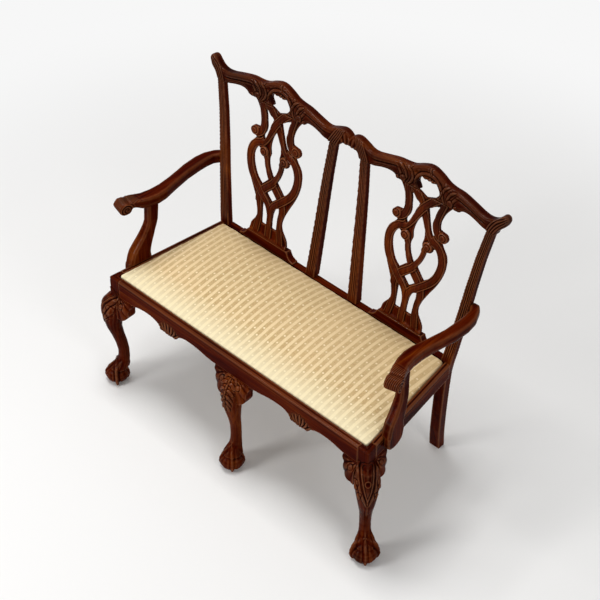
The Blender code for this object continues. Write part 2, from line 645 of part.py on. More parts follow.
def crest_rail(group, root, wood):
    half = scaled(CREST_TOP_SHARES, CREST_HALF_LENGTH, CREST_RISE)
    arch = []
    for x, z, kind in CREST_ARCH_SHARES:
        arch.append((CREST_HUMP_X + x * CREST_HALF_LENGTH, z * CREST_RISE, kind))
    half += arch
    half.append((CREST_HUMP_X, CREST_ARCH_TOP_SHARES[1] * CREST_RISE, SMOOTH))
    half += [(2 * CREST_HUMP_X - x, z, kind) for x, z, kind in reversed(arch)]
    half += scaled(CREST_INNER_SHARES, CREST_HALF_LENGTH, CREST_RISE)
    low, notch = scaled(CREST_CENTRE_SHARES, CREST_HALF_LENGTH, CREST_RISE)
    loop = [notch] + half + [low] + mirrored(half)
    mesh = outline_mesh("crest_rail", [loop], CREST_THICKNESS, steps=3, rounding=CREST_ROUNDING)
    split_across(mesh, [way * row[0] * CREST_HALF_LENGTH for row in CREST_BOW_SHARES[1:-1] for way in (-1, 1)])

    def settle(p):
        # Each half bows back behind its splat, and the ears grow thin towards their tips
        out = abs(p.x) / CREST_HALF_LENGTH
        bow = CREST_BOW * table_value(CREST_BOW_SHARES, out, 1)
        ear = table_value(CREST_BOW_SHARES, out, 2)
        depth = p.y * (1.0 - EAR_THINNING_SHARE * ear) + EAR_SET_BACK * ear + bow
        return back_point(p.x, depth, BACK_JOINT_HEIGHT + p.z)

    reshape(mesh, settle)
    add_object("crest_rail", mesh, group, root, wood)


def splat(group, root, wood):
    foot = SHOE_HEIGHT + GAP
    height = BACK_JOINT_HEIGHT - GAP - foot
    edge = scaled(SPLAT_EDGE_SHARES, SPLAT_HALF_WIDTH, height)
    notch = scaled((SPLAT_TOP_NOTCH_SHARES,), SPLAT_HALF_WIDTH, height)
    loops = [edge + notch + mirrored(edge)]
    for shares in (SLOT_SHARES, SIDE_WINDOW_SHARES, SLIT_SHARES):
        hole = scaled(shares, SPLAT_HALF_WIDTH, height)
        loops += [hole, mirrored(hole)]
    window = scaled(CENTRE_WINDOW_SHARES, SPLAT_HALF_WIDTH, height)
    low, high = scaled(CENTRE_WINDOW_END_SHARES, SPLAT_HALF_WIDTH, height)
    loops.append([high] + window + [low] + mirrored(window))
    loops.append(scaled(DIAMOND_SHARES, SPLAT_HALF_WIDTH, height))
    mesh = outline_mesh("right_splat", loops, SPLAT_THICKNESS, steps=3)

    def settle(p):
        up = foot + p.z
        x = SPLAT_FOOT_X + SPLAT_LEAN * up + p.x
        return back_point(x, p.y + SPLAT_SET_BACK * p.z / height, up)

    reshape(mesh, settle)
    plate = add_object("right_splat", mesh, group, root, wood)
    mirror_copy(plate, "left_splat", group)


def splat_shoe(group, root, wood):
    half = scaled(SHOE_SHARES, SHOE_HALF_LENGTH, SHOE_HEIGHT)
    mesh = outline_mesh("right_splat_shoe", [half + mirrored(half)], SHOE_DEPTH, steps=3)
    slope = sin(BACK_RAKE) / cos(BACK_RAKE)

    def settle(p):
        depth = p.y - SHOE_PROUD
        level = (depth * slope + GAP) * (1.0 - p.z / SHOE_HEIGHT)
        return back_point(SPLAT_FOOT_X + p.x, depth, p.z + level)

    reshape(mesh, settle)
    shoe = add_object("right_splat_shoe", mesh, group, root, wood)
    mirror_copy(shoe, "left_splat_shoe", group)


def square_ring(corners, phase, count):
    # Points spread along the four sides, the first corner at the given place in the ring
    per_side = count // 4
    points = [None] * count
    for side in range(4):
        start, end = corners[side], corners[(side + 1) % 4]
        for k in range(per_side):
            points[(phase + side * per_side + k) % count] = start.lerp(end, k / per_side)
    return points


def round_ring(centre, outward, reach, half_width, count):
    across = Vector((-outward.y, outward.x))
    points = []
    for k in range(count):
        angle = 2 * pi * k / count
        points.append(centre + outward * (reach * cos(angle)) + across * (half_width * sin(angle)))
    return points


def cabriole_rings(start, outward, corners, phase, table, top, grow, count=16):
    rings = []
    for height, forward, backward, half_width, turn in reversed(table):
        ahead = KNEE_REACH * forward + grow
        behind = KNEE_REACH * backward + grow
        centre = start + outward * ((ahead - behind) / 2)
        curved = round_ring(centre, outward, (ahead + behind) / 2, KNEE_REACH * half_width + grow, count)
        square = square_ring(corners, phase, count)
        z = top * height
        rings.append([Vector((*s.lerp(c, turn), z)) for s, c in zip(square, curved)])
    return rings


def foot_parts(name, foot, ankle, outward, tables, cutters, root):
    # The ball and the claws that grip it, the first pointing outward
    parts = []
    shape = bmesh.new()
    bmesh.ops.create_uvsphere(shape, u_segments=14, v_segments=9, radius=1.0)
    mesh = bpy.data.meshes.new(name + "_ball")
    shape.to_mesh(mesh)
    shape.free()
    size = Matrix.Diagonal((FOOT_BALL_RADIUS, FOOT_BALL_RADIUS, FOOT_BALL_RISE, 1.0))
    mesh.transform(Matrix.Translation((foot.x, foot.y, FOOT_BALL_CENTRE)) @ size)
    parts.append(add_object(name + "_ball", mesh, cutters, root))
    for quarter, shares in enumerate(tables):
        turn = Matrix.Rotation(quarter * pi / 2, 2)
        way = turn @ outward
        curve = bpy.data.curves.new(name + "_claw", "CURVE")
        curve.dimensions = "3D"
        curve.bevel_depth = CLAW_RADIUS
        curve.bevel_resolution = 1
        curve.use_fill_caps = True
        spline = curve.splines.new("POLY")
        spline.points.add(len(shares) - 1)
        for i, (knot, (reach, height, thick)) in enumerate(zip(spline.points, shares)):
            lead = 1.0 - min(1.0, i / 2)
            middle = foot.lerp(ankle, lead)
            spot = middle + way * (reach * FOOT_BALL_RADIUS)
            knot.co = (spot.x, spot.y, height * FOOT_BALL_RISE, 1.0)
            knot.radius = thick
        parts.append(add_object(name + "_claw", curve_mesh(curve), cutters, root))
    return parts


def floor_cut(cutters, root):
    wide = FRONT_HALF_WIDTH + SEAT_DEPTH
    mesh = block_mesh("floor_cut", (-wide, -wide, -wide), (wide, wide, 0.0))
    return add_object("floor_cut", mesh, cutters, root)


def corner_post_quad(inset):
    inner = FRONT_HALF_WIDTH - POST_WIDTH
    return [Vector((side_x(inset, inset), inset)), Vector((side_x(POST_WIDTH, inset), POST_WIDTH)),
            Vector((inner, POST_WIDTH)), Vector((inner, inset))]


def mitred_mesh(name, section):
    # A section of inset and height run round the seat's front corner, past both ends of the post
    near, far = FRONT_HALF_WIDTH - POST_WIDTH - OVERRUN, POST_WIDTH + OVERRUN
    rings = [
        [Vector((near, inset, RAIL_TOP + dz)) for inset, dz in section],
        [Vector((side_x(inset, inset), inset, RAIL_TOP + dz)) for inset, dz in section],
        [Vector((side_x(far, inset), far, RAIL_TOP + dz)) for inset, dz in section],
    ]
    return loft_mesh(name, rings)


def corner_leg_rings(grow=0.0):
    outward = Vector((1.0, -1.0)).normalized()
    start = Vector((FRONT_HALF_WIDTH, 0.0))
    corners = corner_post_quad(-grow)
    rings = cabriole_rings(start, outward, corners, 0, CORNER_LEG_SHARES, APRON_END, grow)
    for z in (APRON_END, RAIL_TOP) if grow else (APRON_END,):
        rings.append([Vector((*p, z)) for p in square_ring(corners, 0, 16)])
    return rings


def corner_leg(group, cutters, root, wood, floor):
    outward = Vector((1.0, -1.0)).normalized()
    start = Vector((FRONT_HALF_WIDTH, 0.0))
    rings = corner_leg_rings()
    rings.append([Vector((*p, RAIL_TOP)) for p in square_ring(corner_post_quad(0.0), 0, 16)])
    leg = add_object("front_right_leg", loft_mesh("front_right_leg", rings), group, root, wood)
    peak = LIP_WIDTH - INNER_REED_RADIUS
    # The quirk's slope runs on past the outer face
    outside = [(peak, OVERRUN), (-OVERRUN, OVERRUN), (-OVERRUN, rail_profile()[0][1] - OVERRUN)]
    outside += rail_profile()[1:]
    reeds = add_object("reed_cut", mitred_mesh("reed_cut", outside), cutters, root)
    inside = [(peak + GAP, OVERRUN), (peak + GAP, 0.0)] + rail_inner_profile()
    wide = POST_WIDTH + OVERRUN / 2
    inside += [(LIP_WIDTH, -REBATE_DEPTH), (wide, -REBATE_DEPTH), (wide, OVERRUN)]
    recess = add_object("seat_recess", mitred_mesh("seat_recess", inside), cutters, root)
    join(leg, reeds, "DIFFERENCE")
    join(leg, recess, "DIFFERENCE")
    foot = start + outward * CORNER_FOOT_REACH
    ankle = start - outward * (KNEE_REACH * 0.58)
    tables = (FRONT_CLAW_SHARES, SIDE_CLAW_SHARES) * 2
    for part in foot_parts("corner", foot, ankle, outward, tables, cutters, root):
        join(leg, part, "UNION")
    join(leg, floor, "DIFFERENCE")
    apply_modifiers(leg)
    mirror_copy(leg, "front_left_leg", group)
    grown = loft_mesh("corner_leg_room", corner_leg_rings(GAP))
    return add_object("corner_leg_room", grown, cutters, root)


def centre_leg_rings(grow=0.0):
    outward = Vector((0.0, -1.0))
    half = CENTRE_POST_HALF_WIDTH + grow
    rear = RAIL_THICKNESS + grow
    corners = [Vector((half, -grow)), Vector((half, rear)), Vector((-half, rear)), Vector((-half, -grow))]
    start = Vector((0.0, 0.0))
    rings = cabriole_rings(start, outward, corners, 2, CENTRE_LEG_SHARES, APRON_CENTRE, grow)
    top = APRON_CENTRE - GAP
    for z in (top, RAIL_TOP) if grow else (top,):
        rings.append([Vector((*p, z)) for p in square_ring(corners, 2, 16)])
    return rings


def centre_leg(group, cutters, root, wood, floor):
    outward = Vector((0.0, -1.0))
    leg = add_object("front_centre_leg", loft_mesh("front_centre_leg", centre_leg_rings()), group, root, wood)
    foot = outward * CENTRE_FOOT_REACH
    ankle = Vector((0.0, KNEE_REACH * 0.19))
    # Its claws point half way between the front and the sides
    slantwise = Vector((1.0, -1.0)).normalized()
    tables = (FRONT_CLAW_SHARES,) * 4
    for part in foot_parts("centre", foot, ankle, slantwise, tables, cutters, root):
        join(leg, part, "UNION")
    join(leg, floor, "DIFFERENCE")
    apply_modifiers(leg)
    grown = loft_mesh("centre_leg_room", centre_leg_rings(GAP))
    return add_object("centre_leg_room", grown, cutters, root)


def knee_block(name, top, height, group, cutters, root, wood, room, base, way, inward):
    # A bracket under the rail, cut to the knee it leans on; way runs along the rail, inward square to it
    loop = scaled(KNEE_BLOCK_SHARES, KNEE_BLOCK_WIDTH, height)
    mesh = outline_mesh(name, [loop], KNEE_BLOCK_DEPTH, steps=3)
    base, way, inward = Vector(base), Vector(way).normalized(), Vector(inward).normalized()

    def settle(p):
        spot = base + way * p.x + inward * (p.y - KNEE_BLOCK_PROUD)
        return Vector((spot.x, spot.y, top - GAP + p.z))

    reshape(mesh, settle)
    weld(mesh)
    block = add_object(name, mesh, group, root, wood)
    join(block, room, "DIFFERENCE")
    apply_modifiers(block)
    return block


def knee_blocks(group, cutters, root, wood, corner_room, centre_room):
    inner = FRONT_HALF_WIDTH - POST_WIDTH
    height = KNEE_BLOCK_HEIGHT
    front = knee_block("front_right_knee_block_front", APRON_END, height, group, cutters, root, wood, corner_room,
                       (inner, 0.0), (-1.0, 0.0), (0.0, 1.0))
    mirror_copy(front, "front_left_knee_block_front", group)
    side = Vector((-SIDE_SLOPE, 1.0))
    face = Vector((-1.0, -SIDE_SLOPE))
    back = knee_block("front_right_knee_block_side", UNDERSIDE, height, group, cutters, root, wood, corner_room,
                      (side_x(POST_WIDTH), POST_WIDTH), side, face)
    mirror_copy(back, "front_left_knee_block_side", group)
    start = CENTRE_POST_HALF_WIDTH - KNEE_BLOCK_LAP
    height = CENTRE_KNEE_BLOCK_HEIGHT
    for side, way in (("right", 1.0), ("left", -1.0)):
        knee_block(f"centre_{side}_knee_block", APRON_CENTRE, height, group, cutters, root, wood, centre_room,
                   (start * way, 0.0), (way, 0.0), (0.0, 1.0))


def arm_height(rise):
    return ARM_TOP + rise * ARM_THICKNESS


def arm_base(depth_share):
    # The line in plan from the seat's front corner to the stile's outer face at the arm's height
    up = (ARM_TOP - ARM_THICKNESS / 2 - RAIL_TOP) / cos(BACK_RAKE)
    sweep = table_value(STILE_SWEEP_SHARES, up / BACK_JOINT_HEIGHT, 1)
    rear_x = lerp(STILE_SEAT_X, STILE_TOP_X, sweep)
    rear_y = SEAT_DEPTH + up * sin(BACK_RAKE)
    return Vector((lerp(FRONT_HALF_WIDTH, rear_x, depth_share), rear_y * depth_share))


def arm_spot(shares):
    return arm_base(shares[1]) + Vector((ARM_SWAY * shares[0], 0.0))


def arm_mesh(name, grow=0.0):
    stations = [ARM_END_SHARES] + list(ARM_STATION_SHARES)
    rises = (ARM_RISE_SHARES[0],) + ARM_RISE_SHARES
    rings = []
    for (inner, outer), rise in zip(stations, rises):
        a, b = arm_spot(inner), arm_spot(outer)
        side = (b - a).normalized() * grow
        a, b = a - side, b + side
        top = arm_height(rise) + grow
        deep = ARM_THICKNESS + 2 * grow
        rings.append([Vector((*a.lerp(b, u), top + v * deep)) for u, v in ARM_SECTION_SHARES])
    return loft_mesh(name, rings)


def arm(group, cutters, root, wood):
    item = add_object("right_arm", arm_mesh("right_arm"), group, root, wood)
    inner, outer = ARM_STATION_SHARES[-1]
    a, b = arm_spot(inner).to_3d(), arm_spot(outer).to_3d()
    length = (b - a).length + 2 * GAP
    mesh = cylinder_mesh("arm_roll", ARM_ROLL_RADIUS, length, 20, (b - a).normalized())
    x, y = arm_spot(ARM_ROLL_SHARES)
    mesh.transform(Matrix.Translation((x, y, ARM_TOP - ARM_ROLL_RADIUS)))
    roll = add_object("arm_roll", mesh, cutters, root)
    join(item, roll, "UNION")
    room = add_object("stile_room", outer_stile_mesh("stile_room", GAP), cutters, root)
    join(item, room, "DIFFERENCE")
    apply_modifiers(item)
    mirror_copy(item, "left_arm", group)
    return add_object("arm_room", arm_mesh("arm_room", GAP), cutters, root)


def support_ring(z, front, rear, outstand, thickness):
    edge = thickness * 0.18
    points = ((front + edge, outstand), (rear - edge, outstand), (rear, outstand - edge),
              (rear, outstand - thickness + edge), (rear - edge, outstand - thickness),
              (front + edge, outstand - thickness), (front, outstand - thickness + edge),
              (front, outstand - edge))
    return [Vector((side_x(y) + out * SIDE_STRETCH, y, z)) for y, out in points]


def arm_support(group, cutters, root, wood, room):
    rings = []
    lap = SUPPORT_OUTSTAND - GAP
    for height, front, rear in SUPPORT_LOW_SHARES:
        z = RAIL_TOP + SUPPORT_DROP * height
        rings.append(support_ring(z, front * SEAT_DEPTH, rear * SEAT_DEPTH, SUPPORT_OUTSTAND, lap))
    front, rear = (share * SEAT_DEPTH for share in SUPPORT_SEAT_SHARES)
    shelf = RAIL_TOP + GAP
    rings.append(support_ring(shelf, front, rear, SUPPORT_OUTSTAND, lap))
    rings.append(support_ring(shelf + GAP, front, rear, SUPPORT_OUTSTAND, SUPPORT_THICKNESS))
    clear = ARM_TOP - RAIL_TOP
    for height, front, rear, lean, thick in SUPPORT_HIGH_SHARES:
        z = RAIL_TOP + clear * height
        out = SUPPORT_OUTSTAND * (1.0 - lean)
        rings.append(support_ring(z, front * SEAT_DEPTH, rear * SEAT_DEPTH, out, SUPPORT_THICKNESS * thick))
    item = add_object("right_arm_support", loft_mesh("right_arm_support", rings), group, root, wood)
    join(item, room, "DIFFERENCE")
    apply_modifiers(item)
    mirror_copy(item, "left_arm_support", group)


COVER_INSET = LIP_WIDTH + SEAT_CLEARANCE
FRAME_INSET = COVER_INSET + COVER_THICKNESS + 3 * GAP
SEAT_BACK_Y = SEAT_DEPTH - SEAT_CLEARANCE - SHOE_PROUD - 3 * SEAT_CLEARANCE
FRAME_BOTTOM = LEDGE_TOP + GAP
FRAME_TOP = FRAME_BOTTOM + SEAT_FRAME_THICKNESS


def seat_frame(group, root, beech):
    front = FRAME_INSET
    back = SEAT_BACK_Y - COVER_THICKNESS - 3 * GAP
    inset = FRAME_INSET + SEAT_FRAME_WIDTH
    rows = (("seat_frame_front", front, front + SEAT_FRAME_WIDTH), ("seat_frame_back", back - SEAT_FRAME_WIDTH, back))
    for name, near, far in rows:
        plan = [(side_x(near, FRAME_INSET), near), (side_x(far, FRAME_INSET), far),
                (-side_x(far, FRAME_INSET), far), (-side_x(near, FRAME_INSET), near)]
        add_object(name, prism_mesh(name, plan, FRAME_BOTTOM, FRAME_TOP), group, root, beech)
    near, far = front + SEAT_FRAME_WIDTH + GAP, back - SEAT_FRAME_WIDTH - GAP
    plan = [(side_x(near, FRAME_INSET), near), (side_x(far, FRAME_INSET), far),
            (side_x(far, inset), far), (side_x(near, inset), near)]
    side = add_object("seat_frame_right", prism_mesh("seat_frame_right", plan, FRAME_BOTTOM, FRAME_TOP),
                      group, root, beech)
    mirror_copy(side, "seat_frame_left", group)
    half = SEAT_FRAME_WIDTH / 2
    low, high = (-half, near, FRAME_BOTTOM), (half, far, FRAME_TOP)
    add_object("seat_frame_centre_bar", block_mesh("seat_frame_centre_bar", low, high), group, root, beech)


def seat_webbing(group, root, jute):
    # Crossed straps on top of the seat frame, made as one lattice
    front = FRAME_INSET + SEAT_FRAME_WIDTH / 3
    back = SEAT_BACK_Y - COVER_THICKNESS - SEAT_FRAME_WIDTH / 3
    half = side_x(back, FRAME_INSET + SEAT_FRAME_WIDTH / 3)
    columns, rows = 8, 3
    column_step = (2 * half - WEBBING_STRAP) / (columns - 1)
    row_step = (back - front - WEBBING_STRAP) / (rows - 1)
    loops = [[(-half, front, CORNER), (half, front, CORNER), (half, back, CORNER), (-half, back, CORNER)]]
    for i in range(columns - 1):
        left = -half + i * column_step + WEBBING_STRAP
        right = left + column_step - WEBBING_STRAP
        for j in range(rows - 1):
            near = front + j * row_step + WEBBING_STRAP
            far = near + row_step - WEBBING_STRAP
            loops.append([(left, near, CORNER), (right, near, CORNER), (right, far, CORNER), (left, far, CORNER)])
    mesh = outline_mesh("seat_webbing", loops, WEBBING_THICKNESS, steps=1)
    floor = FRAME_TOP + GAP
    reshape(mesh, lambda p: Vector((p.x, p.z, floor + p.y)))
    weld(mesh)
    add_object("seat_webbing", mesh, group, root, jute)


def shoulder(distance):
    # How far the seat has risen at a distance in from its edge, from 0 to 1
    share = min(1.0, max(0.0, distance / SEAT_ROUNDING))
    return 1.0 - (1.0 - share) ** 2


def pillow_point(u, v, inset, lift):
    near, far = inset, SEAT_BACK_Y - (inset - COVER_INSET)
    y = lerp(near, far, v)
    wide = side_x(y, inset)
    x = wide * u
    rise = shoulder(wide - abs(x)) * shoulder(y - near) ** 0.5 * shoulder(far - y) ** 0.5
    return Vector((x, y, RAIL_TOP + lift + SEAT_CROWN * rise))


PILLOW_ROW_SHARES = (0.0, 0.016, 0.16, 0.5, 0.84, 0.984, 1.0)
PILLOW_COLUMN_SHARES = (0.0, 0.006, 0.07, 0.26, 0.5, 0.74, 0.93, 0.994, 1.0)


def pillow_cage(name, inset, lift, skirt, closed):
    shape = bmesh.new()
    grid = []
    for v in PILLOW_ROW_SHARES:
        grid.append([shape.verts.new(pillow_point(2 * u - 1, v, inset, lift)) for u in PILLOW_COLUMN_SHARES])
    for low, high in zip(grid, grid[1:]):
        for i in range(len(low) - 1):
            shape.faces.new((low[i], low[i + 1], high[i + 1], high[i]))
    rim = grid[0] + [row[-1] for row in grid[1:]] + grid[-1][-2::-1] + [row[0] for row in grid[-2:0:-1]]
    above = rim
    for depth in skirt:
        below = []
        for vertex in rim:
            below.append(shape.verts.new((vertex.co.x, vertex.co.y, RAIL_TOP + depth)))
        for i in range(len(rim)):
            j = (i + 1) % len(rim)
            shape.faces.new((above[j], above[i], below[i], below[j]))
        above = below
    if closed:
        shape.faces.new(above[::-1])
    bmesh.ops.recalc_face_normals(shape, faces=shape.faces)
    mesh = bpy.data.meshes.new(name)
    shape.to_mesh(mesh)
    shape.free()
    return mesh


def soften(item):
    smooth = item.modifiers.new("smooth", "SUBSURF")
    smooth.levels = 1
    smooth.render_levels = 1


def seat_cover(group, root, cloth):
    bottom = FRAME_BOTTOM - RAIL_TOP
    skirt = (-SEAT_SHOULDER, bottom)
    mesh = pillow_cage("seat_cover", COVER_INSET, SEAT_SHOULDER, skirt, False)
    cover = add_object("seat_cover", mesh, group, root, cloth)
    soften(cover)
    shell = cover.modifiers.new("thickness", "SOLIDIFY")
    shell.thickness = COVER_THICKNESS
    shell.offset = -1.0
    shell.use_even_offset = True
    apply_modifiers(cover)


def seat_padding(group, root, felt):
    inset = FRAME_INSET + COVER_THICKNESS
    floor = FRAME_TOP + WEBBING_THICKNESS + 2 * GAP - RAIL_TOP
    lift = SEAT_SHOULDER - 2 * COVER_THICKNESS - 2 * SEAT_CLEARANCE
    mesh = pillow_cage("seat_padding", inset, lift, (floor,), True)
    padding = add_object("seat_padding", mesh, group, root, felt)
    soften(padding)


def corner_blocks(group, root, beech):
    top = LEDGE_TOP - GAP
    bottom = top - BLOCK_HEIGHT
    inner = RAIL_THICKNESS + GAP
    post = FRONT_HALF_WIDTH - POST_WIDTH - GAP
    rear = POST_WIDTH + GAP
    far = rear + BLOCK_LEG
    plan = [(post - BLOCK_LEG, inner), (post, inner), (post, rear), (side_x(rear, inner), rear),
            (side_x(far, inner), far)]
    front = add_object("front_right_corner_block", prism_mesh("front_right_corner_block", plan, bottom, top),
                       group, root, beech)
    mirror_copy(front, "front_left_corner_block", group)
    back = SEAT_DEPTH - BACK_LEDGE_WIDTH - GAP
    near = back - BLOCK_LEG
    plan = [(side_x(near, inner), near), (side_x(back, inner), back), (side_x(back, inner) - BLOCK_LEG, back)]
    block = add_object("back_right_corner_block", prism_mesh("back_right_corner_block", plan, bottom, top),
                       group, root, beech)
    mirror_copy(block, "back_left_corner_block", group)


def centre_bearer(group, root, beech):
    top = LEDGE_TOP - GAP
    half = BEARER_WIDTH / 2
    low = (-half, RAIL_THICKNESS + GAP, top - BEARER_THICKNESS)
    high = (half, SEAT_DEPTH - BACK_LEDGE_WIDTH - GAP, top)
    add_object("centre_seat_bearer", block_mesh("centre_seat_bearer", low, high), group, root, beech)


def set_screw(name, seat, way, targets, group, cutters, root, steel):
    # A screw whose head rests at the seat and whose shank runs along the given way
    r, head = SCREW_RADIUS, SCREW_HEAD_RADIUS
    rise, length = SCREW_HEAD_HEIGHT, SCREW_LENGTH
    crown, edge = (share * size for share, size in zip(SCREW_CROWN_SHARES, (head, rise)))
    profile = ((0.0, rise), (crown, rise), (head, edge), (head, 0.0), (r, 0.0),
               (r, -length + 2 * r), (0.0, -length))
    room = ((0.0, 3 * OVERRUN), (head + GAP, 3 * OVERRUN), (head + GAP, -GAP), (r + GAP, -GAP),
            (r + GAP, -length - GAP), (0.0, -length - GAP))
    turn = Vector((0.0, 0.0, -1.0)).rotation_difference(Vector(way)).to_matrix().to_4x4()
    place = Matrix.Translation(Vector(seat)) @ turn
    mesh = turned_mesh(name, profile)
    mesh.transform(place)
    add_object(name, mesh, group, root, steel)
    mesh = turned_mesh(name + "_hole", room)
    mesh.transform(place)
    hole = add_object(name + "_hole", mesh, cutters, root)
    for target in targets:
        item = bpy.data.objects[target]
        join(item, hole, "DIFFERENCE")
        apply_modifiers(item)


def screws(group, cutters, root, steel):
    height = LEDGE_TOP - GAP - BLOCK_HEIGHT / 2
    inner = RAIL_THICKNESS + GAP
    outward = Vector((1.0, SIDE_SLOPE, 0.0)).normalized()
    post = FRONT_HALF_WIDTH - POST_WIDTH - GAP
    reach = BLOCK_LEG * BLOCK_SCREW_SHARE
    back = SEAT_DEPTH - BACK_LEDGE_WIDTH - GAP
    front_y = POST_WIDTH + GAP + reach
    back_y = back - reach

    def on_side(y, inset):
        return (side_x(y, inset), y, height)

    jobs = [
        ("front_{}_block_screw_front", (post - reach, inner + SCREW_SINK, height), (0.0, -1.0, 0.0),
         ("front_{}_corner_block", "front_rail")),
        ("front_{}_block_screw_side", on_side(front_y, inner + SCREW_SINK), outward,
         ("front_{}_corner_block", "{}_side_rail")),
        ("back_{}_block_screw_back", (side_x(back, inner) - reach, back - SCREW_SINK, height), (0.0, 1.0, 0.0),
         ("back_{}_corner_block", "back_rail")),
        ("back_{}_block_screw_side", on_side(back_y, inner + SCREW_SINK), outward,
         ("back_{}_corner_block", "{}_side_rail")),
    ]
    for word, share in SUPPORT_SCREW_SHARES:
        jobs.append(("{}_support_screw_" + word, on_side(share * SEAT_DEPTH, RAIL_THICKNESS - SCREW_SINK), outward,
                     ("{}_side_rail", "{}_arm_support")))
    # The arm's screw comes in slantwise from behind the post
    way = Vector(ARM_SCREW_WAY)
    middle = arm_spot(ARM_SCREW_SHARES).to_3d()
    middle.z = arm_height(ARM_RISE_SHARES[0]) - ARM_THICKNESS / 2
    jobs.append(("{}_arm_screw", middle - way * SCREW_SINK, way, ("{}_back_leg_stile", "{}_arm")))
    for name, seat, way, targets in jobs:
        for side, sign in (("right", 1.0), ("left", -1.0)):
            spot = Vector((sign * seat[0], seat[1], seat[2]))
            aim = Vector((sign * way[0], way[1], way[2]))
            set_screw(name.format(side), spot, aim, [word.format(side) for word in targets],
                      group, cutters, root, steel)


def build():
    clear_scene()
    group = new_collection("Chippendale_settee")
    cutters = new_collection("Cutters")
    root = bpy.data.objects.new("settee_frame", None)
    root.location = (0.0, FRONT_FACE_Y, 0.0)
    group.objects.link(root)

    mahogany = new_material("mahogany", (0.13, 0.025, 0.012), 0.28)
    beech = new_material("beech", (0.50, 0.33, 0.18), 0.6)
    cloth = new_material("striped_cloth", (0.78, 0.66, 0.44), 0.8)
    felt = new_material("padding", (0.75, 0.72, 0.66), 0.95)
    jute = new_material("jute", (0.45, 0.34, 0.20), 0.9)
    steel = new_material("steel", (0.55, 0.55, 0.56), 0.35, 1.0)

    floor = floor_cut(cutters, root)
    front_rail(group, cutters, root, mahogany)
    side_rail(group, root, mahogany)
    back_rail(group, root, mahogany)
    corner_room = corner_leg(group, cutters, root, mahogany, floor)
    centre_room = centre_leg(group, cutters, root, mahogany, floor)
    knee_blocks(group, cutters, root, mahogany, corner_room, centre_room)
    outer_stile(group, root, mahogany)
    inner_stile(group, root, mahogany)
    crest_rail(group, root, mahogany)
    splat_shoe(group, root, mahogany)
    splat(group, root, mahogany)
    arm_room = arm(group, cutters, root, mahogany)
    arm_support(group, cutters, root, mahogany, arm_room)
    corner_blocks(group, root, beech)
    centre_bearer(group, root, beech)
    screws(group, cutters, root, steel)
    seat_frame(group, root, beech)
    seat_webbing(group, root, jute)
    seat_padding(group, root, felt)
    seat_cover(group, root, cloth)
    for item in cutters.objects:
        item.hide_render = True
        item.display_type = "WIRE"


build()
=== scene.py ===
import math

import bmesh
import bpy
import numpy as np
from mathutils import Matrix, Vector
from mathutils.bvhtree import BVHTree


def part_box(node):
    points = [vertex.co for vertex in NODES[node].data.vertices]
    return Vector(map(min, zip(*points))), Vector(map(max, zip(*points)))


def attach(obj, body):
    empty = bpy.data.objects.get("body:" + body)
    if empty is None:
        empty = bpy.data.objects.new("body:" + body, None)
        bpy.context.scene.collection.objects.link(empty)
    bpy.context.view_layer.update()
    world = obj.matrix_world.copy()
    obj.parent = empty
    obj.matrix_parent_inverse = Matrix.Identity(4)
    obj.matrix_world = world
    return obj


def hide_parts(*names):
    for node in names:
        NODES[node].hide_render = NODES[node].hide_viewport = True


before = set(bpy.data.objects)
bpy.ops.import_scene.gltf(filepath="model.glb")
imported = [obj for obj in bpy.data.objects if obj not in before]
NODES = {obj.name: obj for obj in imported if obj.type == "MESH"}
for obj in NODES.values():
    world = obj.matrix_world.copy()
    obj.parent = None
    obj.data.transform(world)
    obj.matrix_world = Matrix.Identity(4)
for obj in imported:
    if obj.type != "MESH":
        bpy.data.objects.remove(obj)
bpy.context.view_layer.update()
scene = bpy.context.scene

# Named sizes, in metres, in the frame of the solids
FRONT_FACE_Y = -0.2433
SEAT_DEPTH = 0.430
RAIL_TOP = 0.455
RAKE = math.atan(0.1342)
FRONT_HALF_WIDTH = 0.544
CORNER_FOOT_REACH = 0.005
CENTRE_FOOT_REACH = 0.014
HUMP_X = 0.2915
SPLAT_FOOT_X = 0.2773
SPLAT_LEAN = 0.02842
APRON_DROP_X = 0.278
ARM_MIDDLE_X = 0.532
STRIPE_PITCH = 0.0233
STRIPE_SHIFT = 0.0027
DOT_PITCH = 0.0324
DOT_SHIFT = 0.0022
DOT_HALF_WIDTH = 0.0034
DOT_HALF_LENGTH = 0.0030

# Edge length of each kind of skin, and the relief that counts as a full hollow or ridge
CARVED_SKIN = 0.0013
LEG_SKIN = 0.0014
BLOCK_SKIN = 0.0012
RAIL_SKIN = 0.0016
SUPPORT_SKIN = 0.0015
PADDING_SKIN = 0.0040
CLOTH_SKIN = 0.0050
DEEP_RELIEF = 0.0006
FINE_RELIEF = 0.0004
# How often the surface is averaged to find the level that relief is measured from
RELIEF_ROUNDS = 5

# Colours of the woods and of the cloth
WOOD_STOPS = ((0.37, (0.016, 0.0004, 0.0001)), (0.47, (0.043, 0.0022, 0.0002)),
              (0.56, (0.078, 0.0075, 0.0004)), (0.69, (0.165, 0.0330, 0.0030)))
BEECH_STOPS = ((0.3, (0.40, 0.25, 0.13)), (0.55, (0.50, 0.34, 0.19)), (0.75, (0.57, 0.41, 0.25)))
PORE_BROWN = (0.008, 0.0014, 0.0005)
# Dark polish in the carved hollows, deepened with painted shade
HOLLOW_GLAZE_AND_SHADE = (0.0030, 0.0009, 0.0005)
# Edges of the relief lightened: rubbed wear and painted highlight
WORN_AND_HIGHLIT_RED = (0.270, 0.085, 0.022)
